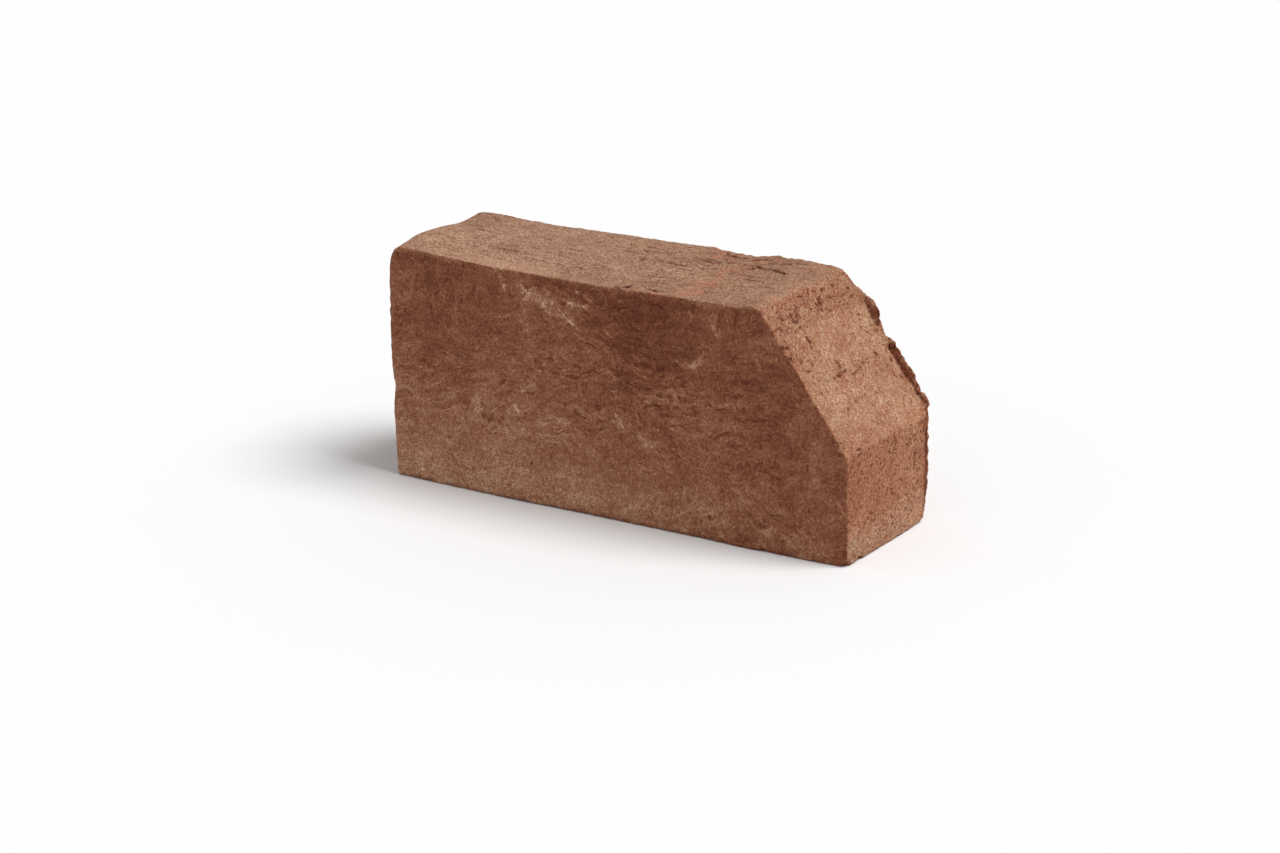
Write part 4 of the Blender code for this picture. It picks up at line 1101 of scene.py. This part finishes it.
# Thin curved cracks: a dip in the bump, and painted shade in the colour.
curl_and_shade = step_up(sums("ABSOLUTE", sums("SUBTRACT", grain(3.2, 1.5, 0.5, askew, 1.2), 0.5), 0.0), 0.0, 0.070, 1.0, 0.0)
curl_and_shade = sums("MULTIPLY", sums("MULTIPLY", curl_and_shade, step_up(grain(2.6, 1.0, 0.5), 0.50, 0.60)), layer_of("curls_and_shade").outputs["Fac"])
shade = sums("MULTIPLY_ADD", curl_and_shade, -0.50, shade)
split = nodes.new("ShaderNodeSeparateColor")
links.new(tint_col, split.inputs[0])
join = nodes.new("ShaderNodeCombineColor")
blush = layer_of("blush").outputs["Fac"]
# The painted shade darkens green and blue faster than red.
for i, power, shade_hue in ((0, None, 1.0), (1, 1.0, 1.55), (2, 1.2, 1.80)):
    along = change if power is None else sums("MULTIPLY", sums("MULTIPLY", change, blush), power)
    along = sums("MULTIPLY_ADD", shade, shade_hue, along)
    links.new(sums("MULTIPLY", split.outputs[i], sums("EXPONENT", along, 0.0)), join.inputs[i])
colour = join.outputs[0]
iron = sums("MULTIPLY", layer_of("rust").outputs["Fac"], step_up(grain(1.3, 3.0, 0.7), 0.47, 0.57))
colour = blended(sums("MULTIPLY", iron, 0.85), colour, (0.50, 0.165, 0.075, 1))
flecks = step_up(grain(1.1, 1.0, 0.5), 0.69, 0.75)
colour = blended(sums("MULTIPLY", flecks, 0.4), colour, (0.45, 0.17, 0.085, 1))
links.new(colour, shader.inputs["Base Color"])

shader.inputs["Specular IOR Level"].default_value = 0.28
links.new(step_up(sand, -0.2, 0.2, 0.84, 0.96), shader.inputs["Roughness"])

height = sums("MULTIPLY_ADD", grain(0.8, 2.0, 0.6), 0.15, sums("MULTIPLY", grain(2.2, 2.0, 0.55), 0.24))
height = sums("MULTIPLY_ADD", holes_and_shade, -0.20, sums("MULTIPLY_ADD", slits_and_shade, -0.20, sums("MULTIPLY_ADD", curl_and_shade, -0.15, height)))
height = sums("MULTIPLY_ADD", sums("MULTIPLY", streak, bed), 0.55, sums("MULTIPLY_ADD", tear_and_shadow, -0.10, height))
height = sums("MULTIPLY_ADD", pit_floor_and_shade, -0.20, sums("MULTIPLY_ADD", edge, -0.12, sums("MULTIPLY_ADD", nicks_and_shadow, -0.12, height)))
bump = nodes.new("ShaderNodeBump")
bump.inputs["Distance"].default_value = 0.001
links.new(height, bump.inputs["Height"])
links.new(step_up(coarse, 0.0, 1.2, 0.45, 1.0), bump.inputs["Strength"])
links.new(bump.outputs[0], shader.inputs["Normal"])
mesh.materials.append(clay_look)

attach(brick, "root")
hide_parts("brick")

# ------------------------------------------------------------------- camera
EYE = Vector((0.674976, -0.995383, 0.429977))
RIGHT = Vector((0.829450, 0.558041, -0.024573))
UP = Vector((-0.157622, 0.276034, 0.948135))
BACK = RIGHT.cross(UP)
cam = bpy.data.objects.new("camera", bpy.data.cameras.new("camera"))
bpy.context.scene.collection.objects.link(cam)
cam.matrix_world = Matrix((
    (RIGHT.x, UP.x, BACK.x, EYE.x),
    (RIGHT.y, UP.y, BACK.y, EYE.y),
    (RIGHT.z, UP.z, BACK.z, EYE.z),
    (0, 0, 0, 1),
))
cam.data.sensor_width = 36
cam.data.lens = 94.637
cam.data.clip_start, cam.data.clip_end = 0.05, 50
bpy.context.scene.camera = cam

# -------------------------------------------------------- light and backdrop
world = bpy.data.worlds.new("studio")
bpy.context.scene.world = world
world.use_nodes = True
world.node_tree.nodes["Background"].inputs["Color"].default_value = (1, 1, 1, 1)
world.node_tree.nodes["Background"].inputs["Strength"].default_value = 0.45
sun = bpy.data.lights.new("key", "SUN")
sun.energy = 0.82 * math.pi
sun.angle = math.radians(32)
key = bpy.data.objects.new("key", sun)
bpy.context.scene.collection.objects.link(key)
key.rotation_euler = Vector((-0.49, -0.13, -0.86)).to_track_quat("-Z", "Y").to_euler()

floor_mesh = bpy.data.meshes.new("floor")
floor_mesh.from_pydata([(-6, -6, 0), (6, -6, 0), (6, 6, 0), (-6, 6, 0)], [], [(0, 1, 2, 3)])
floor = bpy.data.objects.new("floor", floor_mesh)
bpy.context.scene.collection.objects.link(floor)
paper = bpy.data.materials.new("paper")
paper.use_nodes = True
paper.node_tree.nodes["Principled BSDF"].inputs["Base Color"].default_value = (0.86, 0.86, 0.86, 1)
paper.node_tree.nodes["Principled BSDF"].inputs["Roughness"].default_value = 0.95
paper.node_tree.nodes["Principled BSDF"].inputs["Specular IOR Level"].default_value = 0.0
floor_mesh.materials.append(paper)
bpy.context.scene.view_settings.view_transform = "Standard"

bpy.context.view_layer.update()
